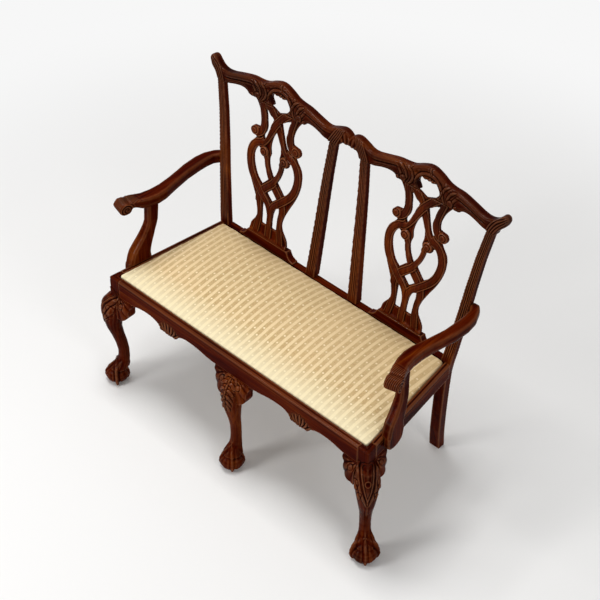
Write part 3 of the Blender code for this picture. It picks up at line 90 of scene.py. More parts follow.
# Painted shade high on the back
TOP_SHADE_BROWN = (0.014, 0.0024, 0.0006)
CREAM = (0.800, 0.620, 0.340)
LIGHT_CREAM = (0.890, 0.715, 0.425)
DULL_CREAM = (0.700, 0.510, 0.270)
TAN = (0.530, 0.372, 0.168)
LIGHT_TAN = (0.625, 0.452, 0.220)
DARK_TAN = (0.400, 0.255, 0.100)
SPOT_CREAM = (0.930, 0.790, 0.530)
# Painted highlight of the cloth's front edge
FRONT_HIGHLIGHT_CREAM = (0.885, 0.800, 0.540)
# Painted shade of the cloth towards the back
BACK_SHADE_TAN = (0.470, 0.320, 0.150)


# Materials
def new_material(name):
    material = bpy.data.materials.new(name)
    material.use_nodes = True
    tree = material.node_tree
    shader = tree.nodes["Principled BSDF"]
    return material, tree, shader


def add(tree, kind, **settings):
    node = tree.nodes.new(kind)
    for key, value in settings.items():
        setattr(node, key, value)
    return node


def preset(node, values):
    # Gives each input a value, or links an output to it
    for key, value in values.items():
        if isinstance(value, bpy.types.NodeSocket):
            node.id_data.links.new(value, node.inputs[key])
        else:
            node.inputs[key].default_value = value


def math_node(tree, operation, a, b=None, clamp=False):
    node = add(tree, "ShaderNodeMath", operation=operation, use_clamp=clamp)
    preset(node, {0: a} if b is None else {0: a, 1: b})
    return node.outputs[0]


def product(tree, a, b, clamp=False):
    return math_node(tree, "MULTIPLY", a, b, clamp)


def total(tree, a, b):
    return math_node(tree, "ADD", a, b)


def less(tree, a, b):
    return math_node(tree, "SUBTRACT", a, b)


def off_middle(tree, value):
    # How far the value's fraction lies from a half
    return math_node(tree, "ABSOLUTE", less(tree, math_node(tree, "FRACT", value), 0.5))


def mix_colour(tree, factor, a, b):
    node = add(tree, "ShaderNodeMix", data_type="RGBA", blend_type="MIX")
    a, b = [(*value, 1.0) if isinstance(value, tuple) else value for value in (a, b)]
    preset(node, {0: factor, 6: a, 7: b})
    return node.outputs[2]


def layered(tree, colour, *layers):
    # Lays each tint over the colour by its share
    for share, tint in layers:
        colour = mix_colour(tree, share, colour, tint)
    return colour


def noise(tree, vector, scale, detail=4.0, roughness=0.55, distortion=0.0):
    node = add(tree, "ShaderNodeTexNoise")
    preset(node, {"Vector": vector, "Scale": scale, "Detail": detail, "Roughness": roughness,
                  "Distortion": distortion})
    return node.outputs["Fac"]


def stretched(tree, scale, shift=(0.0, 0.0, 0.0)):
    coordinates = add(tree, "ShaderNodeTexCoord")
    mapping = add(tree, "ShaderNodeMapping")
    preset(mapping, {"Vector": coordinates.outputs["Object"], "Scale": scale, "Location": shift})
    return mapping.outputs["Vector"]


def plain_place(tree):
    return stretched(tree, (1.0, 1.0, 1.0))


def streaks(tree, scale, *rest, shift=(0.0, 0.0, 0.0)):
    # Noise with its own scale on each axis
    return noise(tree, stretched(tree, scale, shift), 1.0, *rest)


def separated(tree, vector):
    split = add(tree, "ShaderNodeSeparateXYZ")
    preset(split, {0: vector})
    return split.outputs


def ramp(tree, factor, stops):
    node = add(tree, "ShaderNodeValToRGB")
    elements = node.color_ramp.elements
    while len(elements) < len(stops):
        elements.new(0.5)
    for element, (place, colour) in zip(elements, stops):
        element.position = place
        element.color = (*colour, 1.0)
    preset(node, {"Fac": factor})
    return node.outputs["Color"]


def level(tree, factor, low, high, to_low=0.0, to_high=1.0):
    node = add(tree, "ShaderNodeMapRange")
    preset(node, {"Value": factor, "From Min": low, "From Max": high, "To Min": to_low, "To Max": to_high})
    return node.outputs["Result"]


def surface_value(tree, name):
    return add(tree, "ShaderNodeAttribute", attribute_name=name).outputs["Fac"]


def bump(tree, shader, height, strength, distance):
    node = add(tree, "ShaderNodeBump")
    preset(node, {"Height": height, "Strength": strength, "Distance": distance})
    preset(shader, {"Normal": node.outputs["Normal"]})


def grain_scale(axis, along, across):
    return tuple(along if i == axis else across for i in range(3))


def mahogany(name, axis, shift):
    # Polished dark red mahogany: long streaks and fine pores along the grain
    material, tree, shader = new_material(name)
    broad = streaks(tree, grain_scale(axis, 2.0, 16.0), 3.0, 0.5, 0.6, shift=shift)
    streak = streaks(tree, grain_scale(axis, 5.0, 150.0), 5.0, 0.6, 0.3, shift=shift)
    pores = streaks(tree, grain_scale(axis, 60.0, 1500.0), 2.0, 0.5, shift=shift)
    figure = total(tree, product(tree, broad, 0.60), product(tree, streak, 0.40))
    pore = level(tree, pores, 0.34, 0.46, 1.0, 0.0)
    hollow, ridge = surface_value(tree, "hollow"), surface_value(tree, "ridge")
    # Painted shade darkens the crest and the heads of the splats, high on the back
    height = separated(tree, plain_place(tree))[2]
    colour = layered(tree, ramp(tree, figure, WOOD_STOPS),
                     (product(tree, pore, 0.30), PORE_BROWN),
                     # Dark polish caught in the carved hollows, deepened with painted shade
                     (product(tree, hollow, 0.93, True), HOLLOW_GLAZE_AND_SHADE),
                     # Edges of the relief lightened, partly rubbed wear, partly painted highlight
                     (product(tree, ridge, 0.45, True), WORN_AND_HIGHLIT_RED),
                     # Painted shade towards the top of the back
                     (level(tree, height, 0.84, 0.97, 0.0, 0.40), TOP_SHADE_BROWN))
    rough = total(tree, level(tree, broad, 0.3, 0.7, 0.16, 0.26), product(tree, hollow, 0.30))
    preset(shader, {"Base Color": colour, "Roughness": rough, "Specular IOR Level": 0.006,
                    "Coat Weight": product(tree, ridge, 0.22, True), "Coat Roughness": 0.10})
    bump(tree, shader, less(tree, product(tree, streak, 0.5), pore), 0.22, 0.00025)
    return material


def plain_wood(name, axis):
    # Unpolished pale beech of the blocks and of the seat frame
    material, tree, shader = new_material(name)
    broad = streaks(tree, grain_scale(axis, 3.0, 24.0), 3.0)
    flecks = streaks(tree, grain_scale(axis, 45.0, 420.0), 3.0)
    colour = ramp(tree, broad, BEECH_STOPS)
    colour = mix_colour(tree, level(tree, flecks, 0.52, 0.70, 0.0, 0.55), colour, (0.27, 0.15, 0.07))
    preset(shader, {"Base Color": colour, "Roughness": level(tree, flecks, 0.3, 0.7, 0.55, 0.72)})
    bump(tree, shader, flecks, 0.3, 0.0004)
    return material


def screw_steel(name):
    material, tree, shader = new_material(name)
    stain = streaks(tree, (220.0, 220.0, 220.0), 4.0)
    scratch = streaks(tree, (900.0, 900.0, 3500.0), 2.0)
    colour = ramp(tree, stain, ((0.35, (0.33, 0.30, 0.26)), (0.60, (0.52, 0.51, 0.49))))
    rough = level(tree, stain, 0.3, 0.7, 0.45, 0.28)
    preset(shader, {"Base Color": colour, "Roughness": rough, "Metallic": 1.0})
    bump(tree, shader, scratch, 0.2, 0.0001)
    return material


def wave(tree, vector, scale, direction):
    node = add(tree, "ShaderNodeTexWave", wave_type="BANDS", bands_direction=direction)
    preset(node, {"Vector": vector, "Scale": scale, "Distortion": 0.4, "Detail": 1.0})
    return node.outputs["Fac"]


def jute_web(name):
    material, tree, shader = new_material(name)
    place = plain_place(tree)
    warp = wave(tree, place, 125.0, "X")
    weft = wave(tree, place, 125.0, "Y")
    weave = math_node(tree, "MAXIMUM", warp, weft)
    hair = noise(tree, place, 260.0, 4.0)
    colour = ramp(tree, hair, ((0.3, (0.25, 0.17, 0.09)), (0.7, (0.46, 0.34, 0.19))))
    colour = mix_colour(tree, level(tree, weave, 0.2, 0.9, 0.6, 0.0), colour, (0.12, 0.08, 0.04))
    preset(shader, {"Base Color": colour, "Roughness": 0.9})
    bump(tree, shader, weave, 0.6, 0.0008)
    return material


def felt(name):
    material, tree, shader = new_material(name)
    tuft = noise(tree, plain_place(tree), 90.0, 6.0, 0.7)
    fibre = streaks(tree, (300.0, 1300.0, 600.0), 3.0)
    colour = ramp(tree, tuft, ((0.3, (0.42, 0.38, 0.31)), (0.7, (0.66, 0.62, 0.54))))
    colour = mix_colour(tree, level(tree, fibre, 0.5, 0.7, 0.0, 0.5), colour, (0.75, 0.72, 0.65))
    preset(shader, {"Base Color": colour, "Roughness": 1.0})
    bump(tree, shader, tuft, 0.7, 0.0015)
    return material


def stripe_grid(tree):
    # Across is 0 in the middle of a cream band and a half in the middle of a tan one
    # Down is 0 at the middle of each spot
    coordinates = add(tree, "ShaderNodeTexCoord")
    x, y = separated(tree, coordinates.outputs["Object"])[:2]
    wander = streaks(tree, (14.0, 9.0, 14.0), 2.0)
    x = total(tree, x, product(tree, less(tree, wander, 0.5), 0.0030))
    bands = math_node(tree, "DIVIDE", total(tree, x, STRIPE_PITCH / 2 - STRIPE_SHIFT), STRIPE_PITCH)
    band = math_node(tree, "FLOOR", math_node(tree, "DIVIDE", less(tree, x, STRIPE_SHIFT), STRIPE_PITCH))
    stagger = product(tree, math_node(tree, "FLOORED_MODULO", band, 2.0), 0.5)
    rows = total(tree, math_node(tree, "DIVIDE", less(tree, y, DOT_SHIFT), DOT_PITCH), stagger)
    return off_middle(tree, bands), off_middle(tree, rows), y


def striped_cloth(name):
    # Woven satin stripe: narrow cream bands, wider tan bands with a row of small cream spots down each
    material, tree, shader = new_material(name)
    across, down, y = stripe_grid(tree)
    cream = level(tree, across, 0.185, 0.255, 1.0, 0.0)
    fine_line = level(tree, math_node(tree, "ABSOLUTE", less(tree, across, 0.120)), 0.0, 0.035, 1.0, 0.0)
    beside = product(tree, less(tree, 0.5, across), STRIPE_PITCH / DOT_HALF_WIDTH)
    below = product(tree, down, DOT_PITCH / DOT_HALF_LENGTH)
    far = total(tree, math_node(tree, "POWER", beside, 2.0), math_node(tree, "POWER", below, 2.0))
    spot = level(tree, far, 0.45, 1.35, 1.0, 0.0)
    dash = level(tree, down, 0.30, 0.40, 0.0, 1.0)
    slub = streaks(tree, (500.0, 55.0, 500.0), 3.0)
    cross = streaks(tree, (60.0, 700.0, 60.0), 3.0)
    patch = streaks(tree, (5.0, 5.0, 5.0), 2.0)
    mottle = streaks(tree, (70.0, 26.0, 70.0), 3.0, 0.65)
    speck = streaks(tree, (330.0, 240.0, 330.0), 2.0, 0.7)
    fleck = streaks(tree, (38.0, 38.0, 38.0), 1.0)
    hollow = surface_value(tree, "hollow")
    tan = layered(tree, mix_colour(tree, slub, TAN, LIGHT_TAN),
                  (level(tree, speck, 0.44, 0.60, 0.0, 0.80), DARK_TAN),
                  (level(tree, mottle, 0.46, 0.70, 0.0, 0.50), (0.690, 0.520, 0.280)),
                  (product(tree, dash, 0.30), (0.500, 0.330, 0.150)))
    satin = layered(tree, mix_colour(tree, cross, CREAM, LIGHT_CREAM),
                    (product(tree, fine_line, 0.25), (0.70, 0.52, 0.28)),
                    (level(tree, speck, 0.46, 0.62, 0.0, 0.50), DULL_CREAM),
                    (level(tree, mottle, 0.30, 0.52, 0.35, 0.0), (0.720, 0.540, 0.300)))
    shown = product(tree, spot, level(tree, fleck, 0.35, 0.60, 0.35, 1.0))
    # Painted highlight: paler and flatter where the cloth rolls over the front edge; painted shade: duller
    # towards the back
    colour = layered(tree, mix_colour(tree, cream, tan, satin),
                     (shown, SPOT_CREAM),
                     (level(tree, patch, 0.35, 0.65, 0.0, 0.25), (0.79, 0.56, 0.31)),
                     # Painted highlight over the front edge
                     (level(tree, y, -0.208, -0.115, 0.70, 0.0), FRONT_HIGHLIGHT_CREAM),
                     # Painted shade towards the back
                     (level(tree, y, -0.11, 0.15, 0.04, 0.46), BACK_SHADE_TAN),
                     # Painted shade in the cloth's hollows
                     (product(tree, hollow, 0.5, True), (0.36, 0.25, 0.12)))
    preset(shader, {"Base Color": colour, "Roughness": level(tree, cream, 0.0, 1.0, 0.80, 0.58),
                    "Specular IOR Level": 0.30, "Sheen Weight": 0.10, "Sheen Roughness": 0.5})
    place = plain_place(tree)
    threads = total(tree, wave(tree, place, 420.0, "X"), wave(tree, place, 520.0, "Y"))
    pattern = total(tree, cream, product(tree, spot, 0.8))
    height = total(tree, product(tree, threads, 0.25), pattern)
    bump(tree, shader, height, 0.35, 0.00035)
    return material


WOOD_X = mahogany("mahogany_grain_x", 0, (0.3, 0.0, 0.0))
WOOD_Y = mahogany("mahogany_grain_y", 1, (0.0, 0.7, 0.2))
WOOD_Z = mahogany("mahogany_grain_z", 2, (0.1, 0.4, 0.0))
BEECH_X = plain_wood("beech_grain_x", 0)
BEECH_Y = plain_wood("beech_grain_y", 1)
STEEL = screw_steel("screw_steel")
JUTE = jute_web("jute_webbing")
FELT = felt("cotton_felt")
CLOTH = striped_cloth("striped_satin")


def dress(item, material):
    if not item.data.materials:
        item.data.materials.append(material)
    for i in range(len(item.data.materials)):
        item.data.materials[i] = material
    for slot in item.material_slots:
        slot.material = material


for node_name, node in NODES.items():
    if "screw" in node_name:
        dress(node, STEEL)
    elif node_name == "seat_webbing":
        dress(node, JUTE)
    elif node_name == "seat_padding":
        dress(node, FELT)
    elif node_name == "seat_cover":
        dress(node, CLOTH)
    elif node_name in ("seat_frame_left", "seat_frame_right", "seat_frame_centre_bar", "centre_seat_bearer"):
        dress(node, BEECH_Y)
    elif node_name.startswith("seat_frame") or "corner_block" in node_name:
        dress(node, BEECH_X)
    elif "side_rail" in node_name or node_name in ("left_arm", "right_arm"):
        dress(node, WOOD_Y)
    elif node_name.endswith("_rail") or "shoe" in node_name:
        dress(node, WOOD_X)
    else:
        dress(node, WOOD_Z)


# Meshes
def link(name, mesh):
    item = bpy.data.objects.new(name, mesh)
    scene.collection.objects.link(item)
    return item


def applied(item):
    graph = bpy.context.evaluated_depsgraph_get()
    mesh = bpy.data.meshes.new_from_object(item.evaluated_get(graph))
    item.modifiers.clear()
    old = item.data
    item.data = mesh
    mesh.name = item.name
    if old.users == 0:
        bpy.data.meshes.remove(old)
    return item


def remeshed(name, sources, voxel):
    # One even fine skin over the named solids
    shape = bmesh.new()
    for source in sources:
        shape.from_mesh(NODES[source].data)
    bmesh.ops.remove_doubles(shape, verts=shape.verts, dist=1e-6)
    mesh = bpy.data.meshes.new(name)
    shape.to_mesh(mesh)
    shape.free()
    item = link(name, mesh)
    skin = item.modifiers.new("skin", "REMESH")
    skin.mode = "VOXEL"
    skin.voxel_size = voxel
    return applied(item)


def points_of(mesh):
    flat = np.empty(len(mesh.vertices) * 3)
    mesh.vertices.foreach_get("co", flat)
    return flat.reshape(-1, 3)


def normals_of(mesh):
    flat = np.empty(len(mesh.vertices) * 3)
    mesh.vertices.foreach_get("normal", flat)
    return flat.reshape(-1, 3)


def set_points(mesh, points):
    mesh.vertices.foreach_set("co", np.ascontiguousarray(points, dtype=np.float32).ravel())
    mesh.update()


def edges_of(mesh):
    flat = np.empty(len(mesh.edges) * 2, dtype=np.int64)
    mesh.edges.foreach_get("vertices", flat)
    return flat.reshape(-1, 2)


def averaged(values, edges, count):
    sums = np.zeros_like(values)
    for column in range(values.shape[1]):
        first = np.bincount(edges[:, 0], weights=values[edges[:, 1], column], minlength=count)
        second = np.bincount(edges[:, 1], weights=values[edges[:, 0], column], minlength=count)
        sums[:, column] = first + second
    near = np.bincount(edges.ravel(), minlength=count).astype(float)
    return sums / np.maximum(near, 1.0)[:, None]


def relaxed(mesh, times, share=0.5, where=None):
    points, edges = points_of(mesh), edges_of(mesh)
    if where is not None:
        share = share * where[:, None]
    for _ in range(times):
        points = points + share * (averaged(points, edges, len(points)) - points)
    set_points(mesh, points)


def shade_relief(mesh, depth):
    # Stores how deep in a hollow, or how far up on a ridge, each point lies
    points, edges, normals = points_of(mesh), edges_of(mesh), normals_of(mesh)
    mean = points
    for _ in range(RELIEF_ROUNDS):
        mean = averaged(mean, edges, len(points))
    rise = ((mean - points) * normals).sum(1)
    for name, value in (("hollow", rise / depth), ("ridge", -rise / depth)):
        layer = mesh.attributes.new(name, "FLOAT", "POINT")
        layer.data.foreach_set("value", np.clip(value, 0.0, 1.0).astype(np.float32))


def quiet_ridges(mesh, low, high):
    # Little lightening of edges above this height, where the rails meet the square post: less wear, less
    # painted highlight and less coat
    layer = mesh.attributes["ridge"]
    value = np.empty(len(mesh.vertices), np.float32)
    layer.data.foreach_get("value", value)
    share = 1.0 - 0.85 * smoothstep(low, high, points_of(mesh)[:, 2])
    layer.data.foreach_set("value", (value * share).astype(np.float32))


def finish_piece(item, nodes, body, material):
    item.data.materials.clear()
    item.data.materials.append(material)
    item.data.polygons.foreach_set("use_smooth", [True] * len(item.data.polygons))
    item.data.polygons.foreach_set("material_index", [0] * len(item.data.polygons))
    item.data.update()
    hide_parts(*nodes)
    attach(item, body)


def finish_wood(item, name, material, depth=DEEP_RELIEF):
    shade_relief(item.data, depth)
    finish_piece(item, [name], "frame", material)


def smoothstep(low, high, value):
    share = np.clip((value - low) / (high - low), 0.0, 1.0)
    return share * share * (3.0 - 2.0 * share)


def curve_through(points, steps=8):
    # A smooth line through the points
    points = np.array(points, dtype=float)
    ends = np.vstack((2 * points[0] - points[1], points, 2 * points[-1] - points[-2]))
    line = []
    for i in range(1, len(ends) - 2):
        a, b, c, d = ends[i - 1:i + 3]
        for k in range(steps):
            t = k / steps
            line.append(0.5 * (2 * b + (c - a) * t + (2 * a - 5 * b + 4 * c - d) * t * t
                               + (3 * b - a - 3 * c + d) * t ** 3))
    line.append(points[-1])
    return np.array(line)


def along(points, x, z):
    # Distance from each point to the line, share of the way along it, and the side it lies on
    line = curve_through(points)
    lengths = np.linalg.norm(line[1:] - line[:-1], axis=1)
    starts = np.concatenate(((0.0,), np.cumsum(lengths)))
    best = np.full(x.shape, 1e9)
    share = np.zeros_like(best)
    side = np.ones_like(best)
    for i in range(len(lengths)):
        a, way = line[i], (line[i + 1] - line[i]) / max(lengths[i], 1e-9)
        px, pz = x - a[0], z - a[1]
        t = np.clip(px * way[0] + pz * way[1], 0.0, lengths[i])
        dx, dz = px - t * way[0], pz - t * way[1]
        gap = np.hypot(dx, dz)
        closer = gap < best
        best = np.where(closer, gap, best)
        share = np.where(closer, (starts[i] + t) / starts[-1], share)
        side = np.where(closer, np.where(way[0] * dz - way[1] * dx >= 0.0, 1.0, -1.0), side)
    return best, share, side


def back_coordinates(points):
    # Across, up the raked back from the rail's top, and depth behind its front face
    y = points[:, 1] - FRONT_FACE_Y - SEAT_DEPTH
    z = points[:, 2] - RAIL_TOP
    return points[:, 0], y * math.sin(RAKE) + z * math.cos(RAKE), y * math.cos(RAKE) - z * math.sin(RAKE)


FORWARD = np.array((0.0, -math.cos(RAKE), math.sin(RAKE)))
UPWARD = np.array((0.0, math.sin(RAKE), math.cos(RAKE)))


def strap_profile(u):
    # A rounded strap with a sunk line and a bead along each edge
    core = 0.0026 * np.sqrt(np.clip(1.0 - (u / 0.66) ** 2, 0.0, 1.0))
    bead = 0.0020 * np.sqrt(np.clip(1.0 - ((u - 0.86) / 0.15) ** 2, 0.0, 1.0))
    return np.maximum(core, bead) - 0.0006


def bulb(distance, radius, rise):
    return rise * np.sqrt(np.clip(1.0 - (distance / radius) ** 2, 0.0, 1.0))


OUTER_SCROLL = ((.066, .520), (.066, .500), (.060, .475), (.054, .447), (.055, .420), (.062, .400),
                (.075, .388))
LOOP = ((-.062, .520), (-.040, .500), (-.020, .478), (0, .452), (.018, .420), (.033, .392), (.052, .366),
        (.075, .355), (.092, .335), (.1005, .304), (.097, .270), (.086, .242), (.066, .216), (.040, .190),
        (.015, .165), (.004, .140), (.002, .110), (0, .030))
DIAGONAL = ((.040, .345), (.031, .318), (.026, .295), (.019, .270), (.006, .245), (-.014, .225),
            (-.033, .205), (-.048, .183), (-.051, .155), (-.046, .125), (-.044, .100), (-.050, .060),
            (-.056, .030))


def splat_relief(x, v):
    height = np.full(x.shape, -0.0035)
    owner = np.full(x.shape, -1.0)

    def lay(points, shares, halves, lifts, flip):
        nonlocal height, owner
        line = [(flip * px, pz) for px, pz in points]
        gap, share, _ = along(line, x, v)
        half = np.interp(share, shares, halves)
        lift = np.interp(share, shares, lifts)
        u = gap / half
        inside = (u <= 1.02) & (lift > owner)
        height = np.where(inside, strap_profile(u) + lift - 0.0010, height)
        owner = np.where(inside, lift, owner)

    for flip in (1.0, -1.0):
        lay(OUTER_SCROLL, (0, 1), (.014, .013), (.0002, .0002), flip)
    for flip in (1.0, -1.0):
        top = 0.0030 if flip < 0 else 0.0
        lay(LOOP, (0, .06, .14, .22, .30, .50, .66, .73, .80, .86, 1.0),
            (.014, .014, .013, .013, .013, .0135, .013, .013, .012, .011, .012),
            (.0005, top, top + .0004, top, .0005, .0005, .0012, .0030, .0012, .0004, .0004), flip)
    for flip in (1.0, -1.0):
        over = 0.0034 if flip > 0 else 0.0004
        lay(DIAGONAL, (0, .14, .26, .36, .46, .60, .76, 1.0),
            (.0085, .0105, .0125, .013, .013, .0125, .012, .012),
            (.0026, .0012, over, over, .0006, .0003, .0003, .0003), flip)
    for flip in (1.0, -1.0):
        for cx, cz, radius, rise in ((.087, .394, .0175, .0050), (.042, .337, .0170, .0056)):
            away = np.hypot(x - flip * cx, v - cz)
            eye = bulb(away, radius, rise) - 0.0022 * np.exp(-((away / radius - 0.62) / 0.10) ** 2) + 0.0010
            height = np.where(away < radius, np.maximum(eye, 0.0006), height)
    # Leaf at the head, between the straps, and the plain foot above the shoe
    head = smoothstep(.492, .510, v)
    ribs = 0.0012 * np.cos(x / 0.0042 * math.pi)
    height = height * (1.0 - head) + head * (0.0012 + ribs)
    foot = 1.0 - smoothstep(.040, .052, v)
    return height * (1.0 - foot) + foot * 0.0006


def facing(item, way):
    # How squarely each point of the surface looks along the way
    return smoothstep(0.15, 0.65, (normals_of(item.data) * np.asarray(way)[None, :]).sum(1))


def press(item, height, way=None):
    # Moves the surface by the height, along the way or else along its own normals
    points, normals = points_of(item.data), normals_of(item.data)
    push = normals if way is None else np.asarray(way)[None, :]
    set_points(item.data, points + push * height[:, None])


def ridge(x, z, points, half, rise, groove=0.45, taper=0.45):
    # A rounded rib along a line, with a sunk groove down each side of it
    line = np.array(points)
    reach = 2.6 * half
    near = ((x > line[:, 0].min() - reach) & (x < line[:, 0].max() + reach)
            & (z > line[:, 1].min() - reach) & (z < line[:, 1].max() + reach))
    height = np.zeros_like(x)
    if not near.any():
        return height
    gap, share, _ = along(points, x[near], z[near])
    wide = half * np.interp(share, (0.0, 0.2, 0.8, 1.0), (taper, 1.0, 1.0, taper))
    q = gap / wide
    height[near] = np.where(q < 1.0, rise * np.sqrt(np.clip(1.0 - q * q, 0.0, 1.0)),
                            -groove * rise * np.exp(-((q - 1.45) / 0.40) ** 2))
    return height


def reeded(x, z, points, halves, count, rise):
    # Fine reeds side by side that follow a line
    gap, share, side = along(points, x, z)
    wide = np.interp(share, np.linspace(0.0, 1.0, len(halves)), halves)
    u = side * gap / wide
    lobes = np.abs(np.sin(math.pi * count * (u + 1.0) / 2.0))
    inside = 1.0 - smoothstep(0.94, 1.04, np.abs(u))
    return inside * rise * (lobes - 0.45), inside


def mirrored(points):
    return tuple((-px, pz) for px, pz in points)


def edge_heights(x, v, step=0.002):
    # Height of the upper and lower edge of a piece over its length
    bins = np.floor((x - x.min()) / step).astype(int)
    count = bins.max() + 1
    top, bottom = np.full(count, -1.0), np.full(count, 9.0)
    np.maximum.at(top, bins, v)
    np.minimum.at(bottom, bins, v)
    centres = x.min() + (np.arange(count) + 0.5) * step
    return np.interp(x, centres, top), np.interp(x, centres, bottom)


def make_splat(side, sign):
    item = remeshed(f"{side}_carved_splat", [f"{side}_splat"], CARVED_SKIN)
    relaxed(item.data, 3)
    x, v, w = back_coordinates(points_of(item.data))
    weight = 1.0 - smoothstep(0.0, 0.010, w - 0.011 * (v - 0.034) / 0.466)
    near = weight > 0.0
    height = np.zeros_like(x)
    height[near] = splat_relief((x - sign * (SPLAT_FOOT_X + SPLAT_LEAN * v))[near], v[near])
    press(item, height * weight, FORWARD)
    finish_wood(item, f"{side}_splat", WOOD_Z)


make_splat("left", -1.0)
make_splat("right", 1.0)

# Crest rail carving, across from a hump's middle and up the back
OPENING_RIM = ((-.036, .512), (-.044, .527), (-.038, .543), (-.026, .556), (-.008, .564), (.012, .565),
               (.032, .558), (.046, .544), (.052, .528), (.047, .512))
HUMP_VEINS = (
    ((.082, .560), (.068, .552), (.058, .542), (.0545, .527), (.060, .512), (.068, .503)),
    ((.103, .553), (.090, .546), (.080, .535), (.076, .521), (.083, .508)),
    ((.034, .590), (.050, .584), (.066, .572), (.082, .566), (.100, .561)),
    ((.056, .578), (.062, .566), (.064, .556)),
    ((.118, .548), (.108, .540), (.098, .528), (.094, .516)),
)
HUMP_NOTCH = ((.012, .600), (.005, .586), (.006, .575), (.010, .567))
HUMP_BEADS = ((.0870, .5135, .0105, .0034), (-.0870, .5135, .0105, .0034), (.1080, .5085, .0070, .0030),
              (-.1080, .5085, .0070, .0030), (.0060, .5520, .0050, .0030), (.0160, .5500, .0050, .0030),
              (.0250, .5510, .0045, .0026), (-.0300, .5280, .0050, .0024))
OUTER_EAR = ((.5290, .470), (.5310, .500), (.5400, .521), (.5540, .540), (.5690, .554), (.5800, .562))
INNER_REEDS = ((.0640, .470), (.0620, .500), (.0540, .520), (.0430, .539), (.0330, .556))


def crest_relief(x, v, top, bottom):
    across, sign = np.abs(x), np.where(x >= 0.0, 1.0, -1.0)
    u = x - sign * HUMP_X
    from_top, from_bottom = top - v, v - bottom
    roll = bulb(from_top - 0.0070, 0.0080, 0.0024)
    sunk = -0.0020 * np.exp(-((from_top - 0.0165) / 0.0022) ** 2)
    fine = np.exp(-((from_bottom - 0.0060) / 0.0013) ** 2) + np.exp(-((from_bottom - 0.0112) / 0.0012) ** 2)
    height = roll + sunk - 0.0011 * fine
    # The hump: a beaded rim round the opening, leaf veins falling to both sides, flutes fanning up
    hump = 1.0 - smoothstep(0.095, 0.122, np.abs(u))
    away = np.hypot(u, v - 0.530)
    fan = 0.0011 * np.cos(np.arctan2(u, v - 0.530) * 15.0)
    fan = fan * smoothstep(0.042, 0.050, away) * smoothstep(0.008, 0.014, from_top)
    carved = 0.7 * roll - 0.0009 + fan * (1.0 - smoothstep(0.040, 0.060, np.abs(u)))
    carved = carved + ridge(u, v, OPENING_RIM, 0.0042, 0.0026)
    for line in HUMP_VEINS:
        carved = carved + ridge(u, v, line, 0.0040, 0.0024) + ridge(u, v, mirrored(line), 0.0040, 0.0024)
    carved = carved + ridge(u, v, HUMP_NOTCH, 0.0030, 0.0022, 0.9)
    for cx, cz, radius, rise in HUMP_BEADS:
        reach = np.hypot(u - cx, v - cz)
        carved = np.where(reach < radius, np.maximum(carved, bulb(reach, radius, rise)), carved)
        carved = carved - 0.0012 * np.exp(-((reach / radius - 1.2) / 0.16) ** 2)
    hatch = 0.0006 * np.sin(u / 0.0011) * np.sin(v / 0.0011)
    carved = carved + hatch * np.exp(-((np.abs(u) - 0.088) / 0.010) ** 2 - ((v - 0.541) / 0.010) ** 2)
    height = height * (1.0 - hump) + carved * hump
    # The middle: reeds of the inner uprights lean to the top, and a fluted shell hangs between them
    middle = 1.0 - smoothstep(0.086, 0.104, across)
    shell_way = np.arctan2(x, v - 0.492)
    shell = 0.0016 * np.cos(shell_way * 19.0) + 0.0010
    centre = np.where(across < 0.030, shell * smoothstep(0.004, 0.010, from_top), 0.6 * roll - 0.0008)
    strand, inside = reeded(across, v, INNER_REEDS, (.0200, .0195, .0170, .0150, .0130), 5, 0.0026)
    centre = centre * (1.0 - inside) + (strand + 0.0016) * inside
    for cx in (-0.013, 0.0, 0.013):
        reach = np.hypot(x - cx, v - 0.5245)
        centre = np.where(reach < 0.0060, np.maximum(centre, bulb(reach, 0.0060, 0.0030)), centre)
    height = height * (1.0 - middle) + centre * middle
    # The ears: reeds of the outer uprights bend out to the tip
    ear = smoothstep(0.497, 0.515, across)
    strand, inside = reeded(across, v, OUTER_EAR, (.0175, .0185, .0190, .0175, .0150, .0120), 5, 0.0034)
    tip = 0.5 * roll * (1.0 - inside) + (1.15 * strand + 0.0008) * inside
    return height * (1.0 - ear) + tip * ear


CREST_FULLNESS = 0.0055
EAR_FULLNESS = 0.0026
EAR_RISE = 0.0040


def fill_out(item):
    # The crest's rounded top stands a little higher and deeper than its solid
    x, v, w = back_coordinates(points_of(item.data))
    top, _ = edge_heights(x, v)
    behind, face = edge_heights(x, w, 0.004)
    press(item, CREST_FULLNESS * (1.0 - smoothstep(0.0, 0.026, top - v)), UPWARD)
    press(item, -CREST_FULLNESS * smoothstep(0.3, 1.0, (w - face) / (behind - face)), FORWARD)


def make_crest():
    item = remeshed("carved_crest_rail", ["crest_rail"], CARVED_SKIN)
    relaxed(item.data, 5)
    tip = smoothstep(0.540, 0.572, np.abs(points_of(item.data)[:, 0]))
    press(item, EAR_FULLNESS * tip)
    press(item, EAR_RISE * tip, (0.0, 0.0, 1.0))
    x, v, _ = back_coordinates(points_of(item.data))
    top, bottom = edge_heights(x, v)
    press(item, crest_relief(x, v, top, bottom) * facing(item, FORWARD), FORWARD)
    fill_out(item)
    relaxed(item.data, 1, 0.3)
    finish_wood(item, "crest_rail", WOOD_X)


make_crest()


